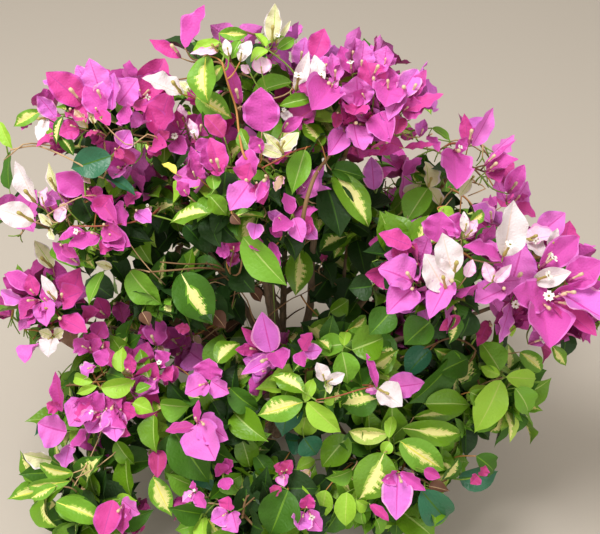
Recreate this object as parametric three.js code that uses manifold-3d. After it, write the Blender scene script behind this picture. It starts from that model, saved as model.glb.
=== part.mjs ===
// A small bougainvillea bush with two-coloured bracts and variegated leaves, rooted in the ground.
// Millimetres, +Z up. The origin is the middle of the flat cut under the trunk, at ground level.
// The front of the bush faces -Y and its right side +X.
//
// A short trunk carries boughs, some of which carry branches. Each limb ends in a mass of foliage:
// twigs that leave one stem by a seeded rule, with leaves along them and at each tip a whorl, of bracts
// where it flowers and of leaves where it doesn't.
import * as THREE from "three";
import { mergeVertices } from "three/addons/utils/BufferGeometryUtils.js";
import Module from "manifold-3d";

const wasm = await Module();
wasm.setup();

const UP = new THREE.Vector3(0, 0, 1);
const GOLDEN_ANGLE = Math.PI * (3 - Math.sqrt(5));

// Wood
const TRUNK_HEIGHT = 92;
const TRUNK_LEAN = 5;
const TRUNK_SIDES = 10;
const TRUNK_PROFILE = [
  [19, 0],
  [14.5, 0.07],
  [12, 0.2],
  [11.5, 0.5],
  [9.5, 0.85],
  [6, 1],
]; // radius, share of the height
const LIMB_SIDES = 5;
const LIMB_STEPS = 5;
const LIMB_TIP_SHARE = 0.5; // of the radius at a limb's foot
const LIMB_END = 0.7; // how far from the middle of its mass a limb ends, as a share of the way to the edge
const JOINT_GAP = 0.3; // between any two pieces that meet
const CUT_GAP = 0.36; // left by a cut, so that rounding leaves JOINT_GAP
const GROUND_CLEARANCE = 6;

// Twigs
const STEM_RADIUS = 3;
const STEM_TIP_RADIUS = 2;
const STEM_REACH = 0.5; // past the middle of the mass, as a share of the way to its edge
const STEM_SIDES = 3;
const STEM_STEPS = 3;
const TWIG_RADIUS = 1.3;
const TWIG_TIP_RADIUS = 1;
const TWIG_SIDES = 3;
const TWIG_REACH = [0.72, 0.3]; // first and last try at where a twig ends, as shares of the way to the edge
const TWIG_SPREAD = [-0.65, 0.8]; // cosines between the stem and its lowest and highest twigs
const TWIG_ROOTS = [0.28, 0.97]; // where the lowest and highest twigs leave the stem
const TWIG_CLEARANCE = 2.5; // between a leaf and the twigs that don't carry it

// Leaves and bracts. Those at a twig's tip are joined in one whorl, opened by an angle from its axis.
const LEAF = { length: 60, width: 38, thickness: 1.8, widest: 0.42, fold: 3, droop: 7 };
const BRACT_WHORL = { blades: 3, length: 47, width: 38, widest: 0.47, fold: 4, opening: 0.92 };
const LEAF_WHORL = { blades: 3, length: 60, width: 38, widest: 0.42, fold: 3, opening: 1.15 };
const WHORL_HEART = 7; // distance from its axis to the notches between its blades
const WHORL_THICKNESS = 3;
const WHORL_SINK = 1.2; // how far the twig's tip goes into it
const WHORL_SETTING = 1.7; // how far it follows its twig's direction rather than the crown's outward one
const LEAF_LEAN = 0.35;
const LEAF_LIFT = 0.15;
const WHORL_TWIG_LEAVES = [0.62]; // shares of the way along a twig that ends in a whorl
const BARE_TWIG_LEAVES = [0.95, 0.62];
const SIZES = [1.25, 0.62]; // first and last try at a leaf's size
const TRIES = 14; // each at a new turn
const LIMB_CLEARANCE = 3.5; // between a leaf or twig and any limb
const LEAF_CLEARANCE = 3; // between the blades of two leaves
const BLADE_SPOTS = 8; // rows of points that stand for a blade when its room is tested
const SMALLEST_DETAIL = 0.04;
const SEED = 1000;

const CROWN_HEART = new THREE.Vector3(15, -30, 150); // leaves turn their faces away from here

const BARK = { color: 0x8a6a4c, roughness: 0.85, metalness: 0 };
const GREEN = { color: 0x4f8f2b, roughness: 0.5, metalness: 0 };
const MAGENTA = { color: 0xdb3fae, roughness: 0.6, metalness: 0 };
const WHITE = { color: 0xf3e4ea, roughness: 0.6, metalness: 0 };

// A bough starts on the trunk's axis at this height. A branch starts on another limb, this share of the
// way along it. Both pass through the points given, and end where they enter their mass.
const bough = (radius, height, ...via) => ({ kind: "bough", radius, height, via });
const branch = (radius, parent, share, ...via) => ({ kind: "branch", radius, parent, share, via });

// A mass: its middle and half sizes, its number of twigs, the share of them that end in a flower, and
// the limb that carries it.
const mass = (name, middle, half, twigs, bloom, limb) => ({
  name,
  middle: new THREE.Vector3(...middle),
  half: new THREE.Vector3(...half),
  twigs,
  bloom,
  limb: { ...limb, name: limb.kind + "_" + name },
});

const MASSES = [
  mass("top_right", [85, -10, 440], [90, 81, 83], 10, 0.9,
    bough(5.2, 84, [34, -12, 180], [40, -32, 300])),
  mass("top_left", [-158, 10, 406], [99, 81, 72], 9, 0.8,
    bough(4.8, 79, [-50, 24, 190], [-108, 25, 300])),
  mass("crest", [-40, -5, 474], [69, 67, 86], 8, 0.3,
    bough(4.6, 88, [-10, 22, 220], [-24, 12, 350])),
  mass("upper_middle", [-24, -86, 392], [83, 69, 69], 8, 0.5,
    bough(4.2, 80, [-6, -42, 200], [-14, -72, 300])),
  mass("right_inner", [155, -126, 326], [76, 69, 67], 8, 0.85,
    bough(5, 63, [66, -52, 160], [118, -96, 250])),
  mass("right_high", [184, 5, 368], [76, 65, 67], 8, 0.7,
    bough(4.4, 73, [90, 22, 165], [148, 18, 265])),
  mass("left_arm", [-177, -38, 322], [83, 69, 60], 8, 0.55,
    bough(4.8, 66, [-66, -24, 160], [-120, -34, 250])),
  mass("low_left", [-172, -120, 164], [96, 72, 69], 9, 0.6,
    bough(4.2, 50, [-58, -46, 100], [-100, -78, 134])),
  mass("low_middle", [50, -134, 206], [85, 67, 58], 8, 0.3,
    bough(4, 60, [20, -60, 122], [34, -92, 164])),
  mass("front", [-26, -224, 106], [88, 78, 66], 8, 0.4,
    bough(3.8, 36, [-8, -80, 68], [-14, -140, 88])),
  mass("low_right", [186, -112, 164], [105, 72, 60], 9, 0.15,
    bough(4.2, 44, [64, -48, 88], [104, -74, 122])),
  mass("back_top", [10, 118, 358], [99, 74, 99], 8, 0.6,
    bough(4.8, 71, [6, 56, 180], [8, 84, 250])),
  mass("back_low_left", [-150, 62, 126], [87, 67, 67], 7, 0.35,
    bough(3.6, 44, [-48, 30, 82], [-80, 44, 104])),
  mass("back_low_right", [152, 62, 108], [87, 67, 67], 7, 0.35,
    bough(3.6, 38, [48, 30, 72], [80, 44, 88])),
  mass("heart", [78, 8, 304], [83, 69, 78], 8, 0.1,
    branch(3, "right_high", 0.3, [72, 4, 190])),
  mass("right_outer", [274, -92, 282], [78, 74, 69], 8, 0.85,
    branch(3.6, "right_inner", 0.42, [140, -66, 196])),
  mass("left_tip", [-266, 4, 304], [56, 54, 58], 6, 0.8,
    branch(3, "left_arm", 0.55, [-160, 2, 232])),
  mass("left_low", [-248, -62, 224], [65, 65, 60], 7, 0.85,
    branch(3.2, "left_arm", 0.34, [-130, -48, 182])),
  mass("left_inner", [-104, -70, 262], [58, 58, 49], 6, 0.2,
    branch(2.8, "low_left", 0.4, [-82, -58, 158])),
  mass("low_left_front", [-184, -198, 98], [90, 65, 60], 8, 0.35,
    branch(3, "low_left", 0.5, [-98, -110, 88])),
  mass("low_middle_left", [-66, -152, 156], [74, 69, 74], 8, 0.4,
    branch(3, "low_middle", 0.34, [-20, -72, 112])),
  mass("front_right", [124, -186, 116], [96, 69, 63], 8, 0.2,
    branch(3, "low_right", 0.42, [72, -98, 86])),
  mass("back_left", [-136, 124, 252], [103, 74, 112], 9, 0.5,
    branch(3.4, "back_top", 0.36, [-46, 84, 172])),
  mass("back_right", [166, 106, 238], [105, 76, 105], 9, 0.5,
    branch(3.4, "back_top", 0.44, [56, 82, 182])),
];
const PALE = ["left_tip", "right_inner"]; // masses whose bracts are mostly white

// Numbers from 0 to 1, always the same ones for the same seed.
function seeded(seed) {
  let state = seed >>> 0;
  return () => {
    state = (state + 0x6d2b79f5) >>> 0;
    let t = Math.imul(state ^ (state >>> 15), state | 1);
    t ^= t + Math.imul(t ^ (t >>> 7), t | 61);
    return ((t ^ (t >>> 14)) >>> 0) / 4294967296;
  };
}

// A closed geometry as a solid, whichever way round its faces were made.
function solidOf(geometry) {
  const bare = geometry.clone();
  bare.deleteAttribute("normal");
  bare.deleteAttribute("uv");
  const merged = mergeVertices(bare, 1e-4);
  const corners = merged.index.array;
  const kept = [];
  for (let i = 0; i < corners.length; i += 3) {
    const [a, b, c] = corners.slice(i, i + 3);
    if (a !== b && b !== c && a !== c) kept.push(a, b, c);
  }
  const make = (triangles) =>
    new wasm.Manifold(
      new wasm.Mesh({
        numProp: 3,
        vertProperties: merged.attributes.position.array,
        triVerts: new Uint32Array(triangles),
      }),
    );
  const solid = make(kept);
  return solid.volume() > 0 ? solid : make(kept.reverse());
}

// A solid as a geometry. Sealed hollows are filled and loose scraps dropped.
function geometryOf(solid) {
  const largest = solid.decompose().reduce((best, one) => (one.volume() > best.volume() ? one : best));
  const mesh = largest.simplify(SMALLEST_DETAIL).getMesh();
  return new THREE.BufferGeometry()
    .setAttribute("position", new THREE.BufferAttribute(mesh.vertProperties, mesh.numProp))
    .setIndex(new THREE.BufferAttribute(mesh.triVerts, 1));
}

// A round bar turned from its radii, foot to tip, and bent along a curve.
function bentBar(curve, radii, sides) {
  const steps = radii.length - 1;
  const profile = radii.map((radius, i) => new THREE.Vector2(radius, i / steps));
  const closed = [new THREE.Vector2(0, 0), ...profile, new THREE.Vector2(0, 1)];
  const geometry = new THREE.LatheGeometry(closed, sides);
  const points = curve.getSpacedPoints(steps);
  const frames = curve.computeFrenetFrames(steps);
  const position = geometry.attributes.position;
  for (let i = 0; i < position.count; i++) {
    const ring = Math.round(position.getY(i) * steps);
    const at = points[ring]
      .clone()
      .addScaledVector(frames.normals[ring], position.getX(i))
      .addScaledVector(frames.binormals[ring], position.getZ(i));
    position.setXYZ(i, at.x, at.y, at.z);
  }
  return solidOf(geometry);
}

// Radii of a limb from its foot to its tip, thicker by `extra` all along.
function taper(foot, tip, steps, extra = 0) {
  return Array.from({ length: steps + 1 }, (_, i) => THREE.MathUtils.lerp(foot, tip, i / steps) + extra);
}

// How far the trunk has leaned over at this height.
const leanAt = (height) => TRUNK_LEAN * (height / TRUNK_HEIGHT) ** 2;

// The trunk: a turned bar with a root flare, leaning more the higher it gets. Its foot is flat and level.
function trunkSolid(extra = 0) {
  const height = TRUNK_HEIGHT + extra;
  const profile = TRUNK_PROFILE.map(([radius, share]) => new THREE.Vector2(radius + extra, share * height));
  const closed = [new THREE.Vector2(0, 0), ...profile, new THREE.Vector2(0, height)];
  const geometry = new THREE.LatheGeometry(closed, TRUNK_SIDES).rotateX(Math.PI / 2);
  const position = geometry.attributes.position;
  for (let i = 0; i < position.count; i++) {
    position.setX(i, position.getX(i) + leanAt(position.getZ(i)));
    if (Math.abs(position.getZ(i)) < 1e-9) position.setZ(i, 0);
  }
  return solidOf(geometry);
}

// A limb's centre line and its solid. It starts inside what carries it and is cut clear of it.
function growLimb({ limb, middle }, space, grown) {
  const parent = grown.find((other) => other.name.endsWith("_" + limb.parent));
  const onTrunk = new THREE.Vector3(leanAt(limb.height ?? 0), 0, limb.height ?? 0);
  const start = parent ? parent.curve.getPointAt(limb.share) : onTrunk;
  const points = [start, ...limb.via.map((point) => new THREE.Vector3(...point))];
  const back = points.at(-1).clone().sub(middle).normalize();
  points.push(middle.clone().addScaledVector(back, space.room(back) * LIMB_END));
  const curve = new THREE.CatmullRomCurve3(points);
  const tip = limb.radius * LIMB_TIP_SHARE;
  const solid = bentBar(curve, taper(limb.radius, tip, LIMB_STEPS), LIMB_SIDES);
  const wider = bentBar(curve, taper(limb.radius, tip, LIMB_STEPS, CUT_GAP), LIMB_SIDES);
  const cut = grown.reduce((left, other) => left.subtract(other.wider), solid);
  return { name: limb.name, curve, radius: limb.radius, solid: cut, wider };
}

// How far it is from the middle of an ellipsoid to its edge.
const toEdge = (way, half) => 1 / way.clone().divide(half).length();

// The space of one mass: its own ellipsoid, cut by a plane towards each neighbour.
function spaceOf({ name, middle, half }) {
  const walls = MASSES.filter((other) => other.name !== name).map((other) => {
    const away = other.middle.clone().sub(middle);
    const distance = away.length();
    const normal = away.divideScalar(distance);
    const own = toEdge(normal, half);
    const theirs = toEdge(normal, other.half);
    return { normal, reach: (distance * own) / (own + theirs) - JOINT_GAP };
  });
  const holds = (point, margin) => {
    const from = point.clone().sub(middle);
    if (point.z < GROUND_CLEARANCE + margin) return false;
    if (from.clone().divide(half).length() > 1) return false;
    return walls.every((wall) => from.dot(wall.normal) < wall.reach - margin);
  };
  const room = (way) => {
    const reaches = walls.map((wall) => wall.reach / Math.max(way.dot(wall.normal), 0.01));
    return Math.min(toEdge(way, half), ...reaches);
  };
  return { middle, holds, room };
}

// Points along every limb, with the limb's radius there.
function limbBeads(limbs) {
  return limbs.flatMap((limb) => {
    const count = Math.ceil(limb.curve.getLength() / 2);
    return Array.from({ length: count + 1 }, (_, i) => ({
      at: limb.curve.getPointAt(i / count),
      radius: THREE.MathUtils.lerp(limb.radius, limb.radius * LIMB_TIP_SHARE, i / count),
    }));
  });
}

const nearLimb = (points, beads) =>
  points.some((point) => beads.some((bead) => point.distanceTo(bead.at) < bead.radius + LIMB_CLEARANCE));

const nearBlade = (points, others, clearance) =>
  others.flat().some((spot) => points.some((point) => point.distanceTo(spot) < clearance));

// The direction at this angle round an axis.
function perpendicular(axis, angle) {
  const aside = Math.abs(axis.z) < 0.9 ? UP : new THREE.Vector3(1, 0, 0);
  return new THREE.Vector3().crossVectors(axis, aside).normalize().applyAxisAngle(axis, angle);
}

// Which way a leaf at this point turns its face: up, and out of the crown.
const facing = (at) => at.clone().sub(CROWN_HEART).normalize().addScaledVector(UP, 0.8).normalize();

// A flat shape's frame: where its root is, which way it points and which way it faces.
function frameOf(root, along, face) {
  const normal = face.clone().addScaledVector(along, -face.dot(along)).normalize();
  const side = new THREE.Vector3().crossVectors(normal, along);
  return (length, width, height) =>
    root.clone().addScaledVector(along, length).addScaledVector(side, width).addScaledVector(normal, height);
}

// Points spread over a blade that is folded along its middle and may droop at its tip.
function bladeSpots(place, form, scale) {
  const spots = [];
  for (let i = 1; i <= BLADE_SPOTS; i++) {
    const share = i / BLADE_SPOTS;
    const wide = share < form.widest ? share / form.widest : (1 - share) / (1 - form.widest);
    const drop = (form.droop ?? 0) * Math.max(0, (share - form.widest) / (1 - form.widest));
    for (const y of [-1, -0.5, 0, 0.5, 1]) {
      const width = (y * wide * form.width * scale) / 2;
      spots.push(place(share * form.length * scale, width, form.fold * Math.abs(y) * wide - drop));
    }
  }
  return spots;
}

// A leaf as an eight-faced solid.
function leafBlade(root, along, face, scale) {
  const place = frameOf(root, along, face);
  const geometry = new THREE.OctahedronGeometry(1);
  const position = geometry.attributes.position;
  const corners = [];
  for (let i = 0; i < position.count; i++) {
    const [x, y, z] = [position.getX(i), position.getY(i), position.getZ(i)].map(Math.round);
    const share = x === 0 ? LEAF.widest : (x + 1) / 2;
    const height = (z * LEAF.thickness) / 2 + LEAF.fold * Math.abs(y) - LEAF.droop * Math.max(x, 0);
    const at = place(share * LEAF.length * scale, (y * LEAF.width * scale) / 2, height);
    position.setXYZ(i, at.x, at.y, at.z);
    corners.push(at);
  }
  return { geometry, corners, spots: bladeSpots(place, LEAF, scale) };
}

// Blades that open round one axis, as one solid: a flat heart below, a raised one above, and
// three corners to each blade, with a notch between it and the next.
function whorl(heart, axis, turn, form, scale) {
  const top = heart.clone().addScaledVector(axis, WHORL_THICKNESS);
  const ring = [];
  const spots = [];
  for (let i = 0; i < form.blades; i++) {
    const angle = turn + (i * 2 * Math.PI) / form.blades;
    const across = perpendicular(axis, angle);
    const along = axis.clone().multiplyScalar(Math.cos(form.opening));
    along.addScaledVector(across, Math.sin(form.opening));
    const place = frameOf(heart, along, axis);
    const middle = form.widest * form.length * scale;
    const half = (form.width * scale) / 2;
    const [right, tip, left] = [
      place(middle, -half, form.fold),
      place(form.length * scale, 0, 0),
      place(middle, half, form.fold),
    ];
    const notch = perpendicular(axis, angle + Math.PI / form.blades).multiplyScalar(WHORL_HEART).add(heart);
    ring.push(right, tip, left, notch);
    spots.push(...bladeSpots(place, form, scale));
  }
  const corners = [top, ...ring];
  const around = (i) => 1 + (i % ring.length);
  const faces = ring.flatMap((_, i) => [0, around(i), around(i + 1)]);
  for (let i = 0; i < ring.length; i += 4) {
    const before = around(i + ring.length - 1);
    const [right, tip, left, after] = [i, i + 1, i + 2, i + 3].map(around);
    faces.push(tip, right, before, tip, before, after, tip, after, left);
    if (i > 0 && i + 4 < ring.length) faces.push(around(ring.length - 1), after, before);
  }
  const geometry = new THREE.BufferGeometry()
    .setAttribute("position", new THREE.Float32BufferAttribute(corners.flatMap((at) => at.toArray()), 3))
    .setIndex(faces);
  return { geometry, corners, spots };
}

// The stem of a mass, on from its limb's tip.
function stemOf(space, limb) {
  const onward = limb.curve.getTangentAt(1);
  const foot = limb.curve.getPointAt(1).addScaledVector(onward, JOINT_GAP);
  const lift = space.middle.clone().sub(foot).normalize().addScaledVector(UP, 0.5).normalize();
  const top = space.middle.clone().addScaledVector(lift, space.room(lift) * STEM_REACH);
  const beyond = foot.clone().addScaledVector(onward, 4);
  return { lift, curve: new THREE.CatmullRomCurve3([foot, beyond, space.middle, top]) };
}

// A leaf on the side of a twig, rooted in the middle of it.
function sideLeaf(twig, share, turn, scale) {
  const at = twig.getPointAt(share);
  const tangent = twig.getTangentAt(share);
  const along = perpendicular(tangent, turn).addScaledVector(tangent, LEAF_LEAN);
  along.addScaledVector(UP, LEAF_LIFT).normalize();
  return leafBlade(at, along, facing(at), scale);
}

// The whorl that ends a twig. It faces out of the crown as far as the twig's own direction lets it.
function tipWhorl(twig, form, turn, scale) {
  const tip = twig.getPointAt(1);
  const axis = twig.getTangentAt(1).multiplyScalar(WHORL_SETTING).add(facing(tip)).normalize();
  return whorl(tip.addScaledVector(axis, -WHORL_SINK), axis, turn, form, scale);
}

// The first of several tries that fits, or nothing. Each try is given its turn and its share of the way
// from the first try to the last.
function firstFit(make, fits, turn) {
  for (let k = 0; k < TRIES; k++) {
    const made = make(turn + k * GOLDEN_ANGLE, k / (TRIES - 1));
    if (fits(made)) return made;
  }
  return null;
}

// One mass of foliage: stem, twigs, leaves and bracts fused into one solid.
// What finds no room in the mass's own space, clear of the limbs and of each other, is left out.
function growMass(mass, seed, space, limb, beads) {
  const draw = seeded(seed);
  const stem = stemOf(space, limb);
  const near = beads.filter((bead) => bead.at.distanceTo(space.middle) < Math.max(...mass.half) + 12);
  const pieces = [bentBar(stem.curve, taper(STEM_RADIUS, STEM_TIP_RADIUS, STEM_STEPS), STEM_SIDES)];
  const wood = [stem.curve.getSpacedPoints(30)];
  const placed = [];
  const bladeFits = ({ corners, spots }, own) =>
    corners.every((corner) => space.holds(corner, 0)) &&
    !nearLimb(spots, near) &&
    !nearBlade(spots, placed, LEAF_CLEARANCE) &&
    !nearBlade(spots, wood.filter((line) => line !== own), TWIG_CLEARANCE);
  const twigFits = (line) => line.every((point) => space.holds(point, TWIG_RADIUS)) && !nearLimb(line, near);
  const put = (blade) => {
    pieces.push(solidOf(blade.geometry));
    placed.push(blade.spots);
  };

  const twigs = [];
  for (let i = 0; i < mass.twigs; i++) {
    const share = i / (mass.twigs - 1);
    const slope = THREE.MathUtils.lerp(...TWIG_SPREAD, share);
    const aside = perpendicular(stem.lift, i * GOLDEN_ANGLE + draw() * 0.6);
    const way = stem.lift.clone().multiplyScalar(slope).addScaledVector(aside, Math.sqrt(1 - slope * slope));
    const root = stem.curve.getPointAt(THREE.MathUtils.lerp(...TWIG_ROOTS, share));
    const form = draw() < mass.bloom ? BRACT_WHORL : LEAF_WHORL;
    const grow = (turn, step) => {
      const reach = space.room(way) * THREE.MathUtils.lerp(...TWIG_REACH, step);
      const twig = new THREE.LineCurve3(root, space.middle.clone().addScaledVector(way, reach));
      const line = twig.getSpacedPoints(12);
      return { twig, line, end: tipWhorl(twig, form, turn, THREE.MathUtils.lerp(...SIZES, step)) };
    };
    const turn = draw() * 2 * Math.PI;
    const whole = firstFit(grow, ({ line, end }) => twigFits(line) && bladeFits(end, line), turn);
    const bare = whole ?? firstFit(grow, ({ line }) => twigFits(line), turn);
    if (!bare) continue;
    pieces.push(bentBar(bare.twig, [TWIG_RADIUS, TWIG_TIP_RADIUS], TWIG_SIDES));
    wood.push(bare.line);
    if (whole) put(whole.end);
    twigs.push({ ...bare, turn, leaves: whole ? WHORL_TWIG_LEAVES : BARE_TWIG_LEAVES });
  }
  for (const { twig, line, turn, leaves } of twigs) {
    leaves.forEach((share, i) => {
      const grow = (angle, step) => sideLeaf(twig, share, angle, THREE.MathUtils.lerp(...SIZES, step));
      const found = firstFit(grow, (blade) => bladeFits(blade, line), turn + i * GOLDEN_ANGLE);
      if (found) put(found);
    });
  }
  return wasm.Manifold.union(pieces);
}

function meshOf(name, solid, look) {
  const mesh = new THREE.Mesh(geometryOf(solid), new THREE.MeshStandardMaterial(look));
  mesh.name = name;
  return mesh;
}

function massLook({ name, bloom }) {
  if (PALE.includes(name)) return WHITE;
  return bloom > 0.5 ? MAGENTA : GREEN;
}

const bush = new THREE.Group();
bush.add(meshOf("trunk", trunkSolid(), BARK));

const spaces = MASSES.map(spaceOf);
const limbs = [];
const carriers = [{ name: "trunk", wider: trunkSolid(CUT_GAP) }];
MASSES.forEach((mass, index) => {
  const grown = growLimb(mass, spaces[index], carriers);
  carriers.push(grown);
  limbs.push(grown);
  bush.add(meshOf(grown.name, grown.solid, BARK));
});

const beads = limbBeads(limbs);
MASSES.forEach((mass, index) => {
  const solid = growMass(mass, SEED + index, spaces[index], limbs[index], beads);
  bush.add(meshOf("mass_" + mass.name, solid, massLook(mass)));
});

export default bush;
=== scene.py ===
import math
import random
from collections import namedtuple

import bpy
import numpy as np
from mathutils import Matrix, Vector, noise


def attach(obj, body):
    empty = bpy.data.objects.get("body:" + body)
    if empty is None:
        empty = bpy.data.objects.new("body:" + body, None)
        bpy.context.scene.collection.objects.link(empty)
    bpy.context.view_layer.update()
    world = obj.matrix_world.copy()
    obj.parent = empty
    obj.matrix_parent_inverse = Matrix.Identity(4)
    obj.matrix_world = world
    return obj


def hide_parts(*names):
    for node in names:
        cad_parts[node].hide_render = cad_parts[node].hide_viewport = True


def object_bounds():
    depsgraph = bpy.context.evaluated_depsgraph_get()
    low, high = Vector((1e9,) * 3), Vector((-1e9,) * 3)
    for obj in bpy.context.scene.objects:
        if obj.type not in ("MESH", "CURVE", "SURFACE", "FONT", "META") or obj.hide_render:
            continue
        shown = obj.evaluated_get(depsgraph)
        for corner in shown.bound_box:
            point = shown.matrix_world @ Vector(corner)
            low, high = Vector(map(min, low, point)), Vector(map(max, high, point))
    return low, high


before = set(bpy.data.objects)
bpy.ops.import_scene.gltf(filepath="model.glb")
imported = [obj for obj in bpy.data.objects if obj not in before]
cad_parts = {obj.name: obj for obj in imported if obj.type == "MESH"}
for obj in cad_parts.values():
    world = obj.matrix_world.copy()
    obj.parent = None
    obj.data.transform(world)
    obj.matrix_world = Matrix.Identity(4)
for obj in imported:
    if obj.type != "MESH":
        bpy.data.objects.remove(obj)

cad_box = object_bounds()

MM = 0.001
UP = np.array((0.0, 0.0, 1.0))
GOLDEN_ANGLE = math.pi * (3 - math.sqrt(5))

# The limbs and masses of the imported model

TRUNK_HEIGHT = 92
TRUNK_LEAN = 5
# Its radii at shares of its height
TRUNK_PROFILE = ((19, 0), (14.5, 0.07), (12, 0.2), (11.5, 0.5), (9.5, 0.85), (6, 1))
LIMB_TIP_SHARE = 0.5  # of the radius at a limb's foot
LIMB_END = 0.7  # how far from the middle of its mass a limb ends, as a share of the way to the edge
STEM_REACH = 0.5  # past the middle of the mass, as a share of the way to its edge
TWIG_SPREAD = (-0.65, 0.8)  # cosines between the stem and its lowest and highest twigs
TWIG_ROOTS = (0.28, 0.97)  # where the lowest and highest twigs leave the stem
GROUND_CLEARANCE = 6
SEED = 1000
CROWN_HEART = np.array((15.0, -30.0, 150.0))  # leaves turn their faces away from here
FACE_UP = 0.8  # and this much upwards

Limb = namedtuple("Limb", "radius carrier place via")
Mass = namedtuple("Mass", "name middle half twigs bloom limb")


def bough(radius, height, *via):
    """A limb that leaves the trunk at this height and runs by these points."""
    return Limb(radius, None, height, via)


def branch(radius, carrier, share, *via):
    """A limb that leaves another one at this share of its length."""
    return Limb(radius, carrier, share, via)


# Each mass: its name, middle, half its size, how many main twigs, the share of them in bloom, its limb
MASSES = [
    Mass("top_right", (85, -10, 440), (90, 81, 83), 10, 0.9,
         bough(5.2, 84, (34, -12, 180), (40, -32, 300))),
    Mass("top_left", (-158, 10, 406), (99, 81, 72), 9, 0.8,
         bough(4.8, 79, (-50, 24, 190), (-108, 25, 300))),
    Mass("crest", (-40, -5, 474), (69, 67, 86), 8, 0.3,
         bough(4.6, 88, (-10, 22, 220), (-24, 12, 350))),
    Mass("upper_middle", (-24, -86, 392), (83, 69, 69), 8, 0.5,
         bough(4.2, 80, (-6, -42, 200), (-14, -72, 300))),
    Mass("right_inner", (155, -126, 326), (76, 69, 67), 8, 0.85,
         bough(5, 63, (66, -52, 160), (118, -96, 250))),
    Mass("right_high", (184, 5, 368), (76, 65, 67), 8, 0.7,
         bough(4.4, 73, (90, 22, 165), (148, 18, 265))),
    Mass("left_arm", (-177, -38, 322), (83, 69, 60), 8, 0.55,
         bough(4.8, 66, (-66, -24, 160), (-120, -34, 250))),
    Mass("low_left", (-172, -120, 164), (96, 72, 69), 9, 0.6,
         bough(4.2, 50, (-58, -46, 100), (-100, -78, 134))),
    Mass("low_middle", (50, -134, 206), (85, 67, 58), 8, 0.3,
         bough(4, 60, (20, -60, 122), (34, -92, 164))),
    Mass("front", (-26, -224, 106), (88, 78, 66), 8, 0.4,
         bough(3.8, 36, (-8, -80, 68), (-14, -140, 88))),
    Mass("low_right", (186, -112, 164), (105, 72, 60), 9, 0.15,
         bough(4.2, 44, (64, -48, 88), (104, -74, 122))),
    Mass("back_top", (10, 118, 358), (99, 74, 99), 8, 0.6,
         bough(4.8, 71, (6, 56, 180), (8, 84, 250))),
    Mass("back_low_left", (-150, 62, 126), (87, 67, 67), 7, 0.35,
         bough(3.6, 44, (-48, 30, 82), (-80, 44, 104))),
    Mass("back_low_right", (152, 62, 108), (87, 67, 67), 7, 0.35,
         bough(3.6, 38, (48, 30, 72), (80, 44, 88))),
    Mass("heart", (78, 8, 304), (83, 69, 78), 8, 0.1,
         branch(3, "right_high", 0.3, (72, 4, 190))),
    Mass("right_outer", (274, -92, 282), (78, 74, 69), 8, 0.85,
         branch(3.6, "right_inner", 0.42, (140, -66, 196))),
    Mass("left_tip", (-266, 4, 304), (56, 54, 58), 6, 0.8,
         branch(3, "left_arm", 0.55, (-160, 2, 232))),
    Mass("left_low", (-248, -62, 224), (65, 65, 60), 7, 0.85,
         branch(3.2, "left_arm", 0.34, (-130, -48, 182))),
    Mass("left_inner", (-104, -70, 262), (58, 58, 49), 6, 0.2,
         branch(2.8, "low_left", 0.4, (-82, -58, 158))),
    Mass("low_left_front", (-184, -198, 98), (90, 65, 60), 8, 0.35,
         branch(3, "low_left", 0.5, (-98, -110, 88))),
    Mass("low_middle_left", (-66, -152, 156), (74, 69, 74), 8, 0.4,
         branch(3, "low_middle", 0.34, (-20, -72, 112))),
    Mass("front_right", (124, -186, 116), (96, 69, 63), 8, 0.2,
         branch(3, "low_right", 0.42, (72, -98, 86))),
    Mass("back_left", (-136, 124, 252), (103, 74, 112), 9, 0.5,
         branch(3.4, "back_top", 0.36, (-46, 84, 172))),
    Mass("back_right", (166, 106, 238), (105, 76, 105), 9, 0.5,
         branch(3.4, "back_top", 0.44, (56, 82, 182))),
]


def seeded(seed):
    """Numbers from 0 to 1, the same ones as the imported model's for the same seed."""
    word = 0xFFFFFFFF
    stride = 0x6D2B79F5
    state = seed & word

    def draw():
        nonlocal state
        state = (state + stride) & word
        mixed = ((state ^ (state >> 15)) * (state | 1)) & word
        mixed ^= (mixed + ((mixed ^ (mixed >> 7)) * (mixed | 61))) & word
        return (mixed ^ (mixed >> 14)) / (word + 1)

    return draw


def between(pair, share):
    return pair[0] + (pair[1] - pair[0]) * share


def unit(way):
    return way / np.linalg.norm(way)


def perpendicular(axis, angle):
    """The direction at this angle round an axis."""
    aside = UP if abs(axis[2]) < 0.9 else np.array((1.0, 0.0, 0.0))
    across = unit(np.cross(axis, aside))
    return across * math.cos(angle) + np.cross(axis, across) * math.sin(angle)


def facing(at):
    """Which way a leaf at this point turns its face: up, and out of the crown."""
    return unit(unit(at - CROWN_HEART) + UP * FACE_UP)


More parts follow.
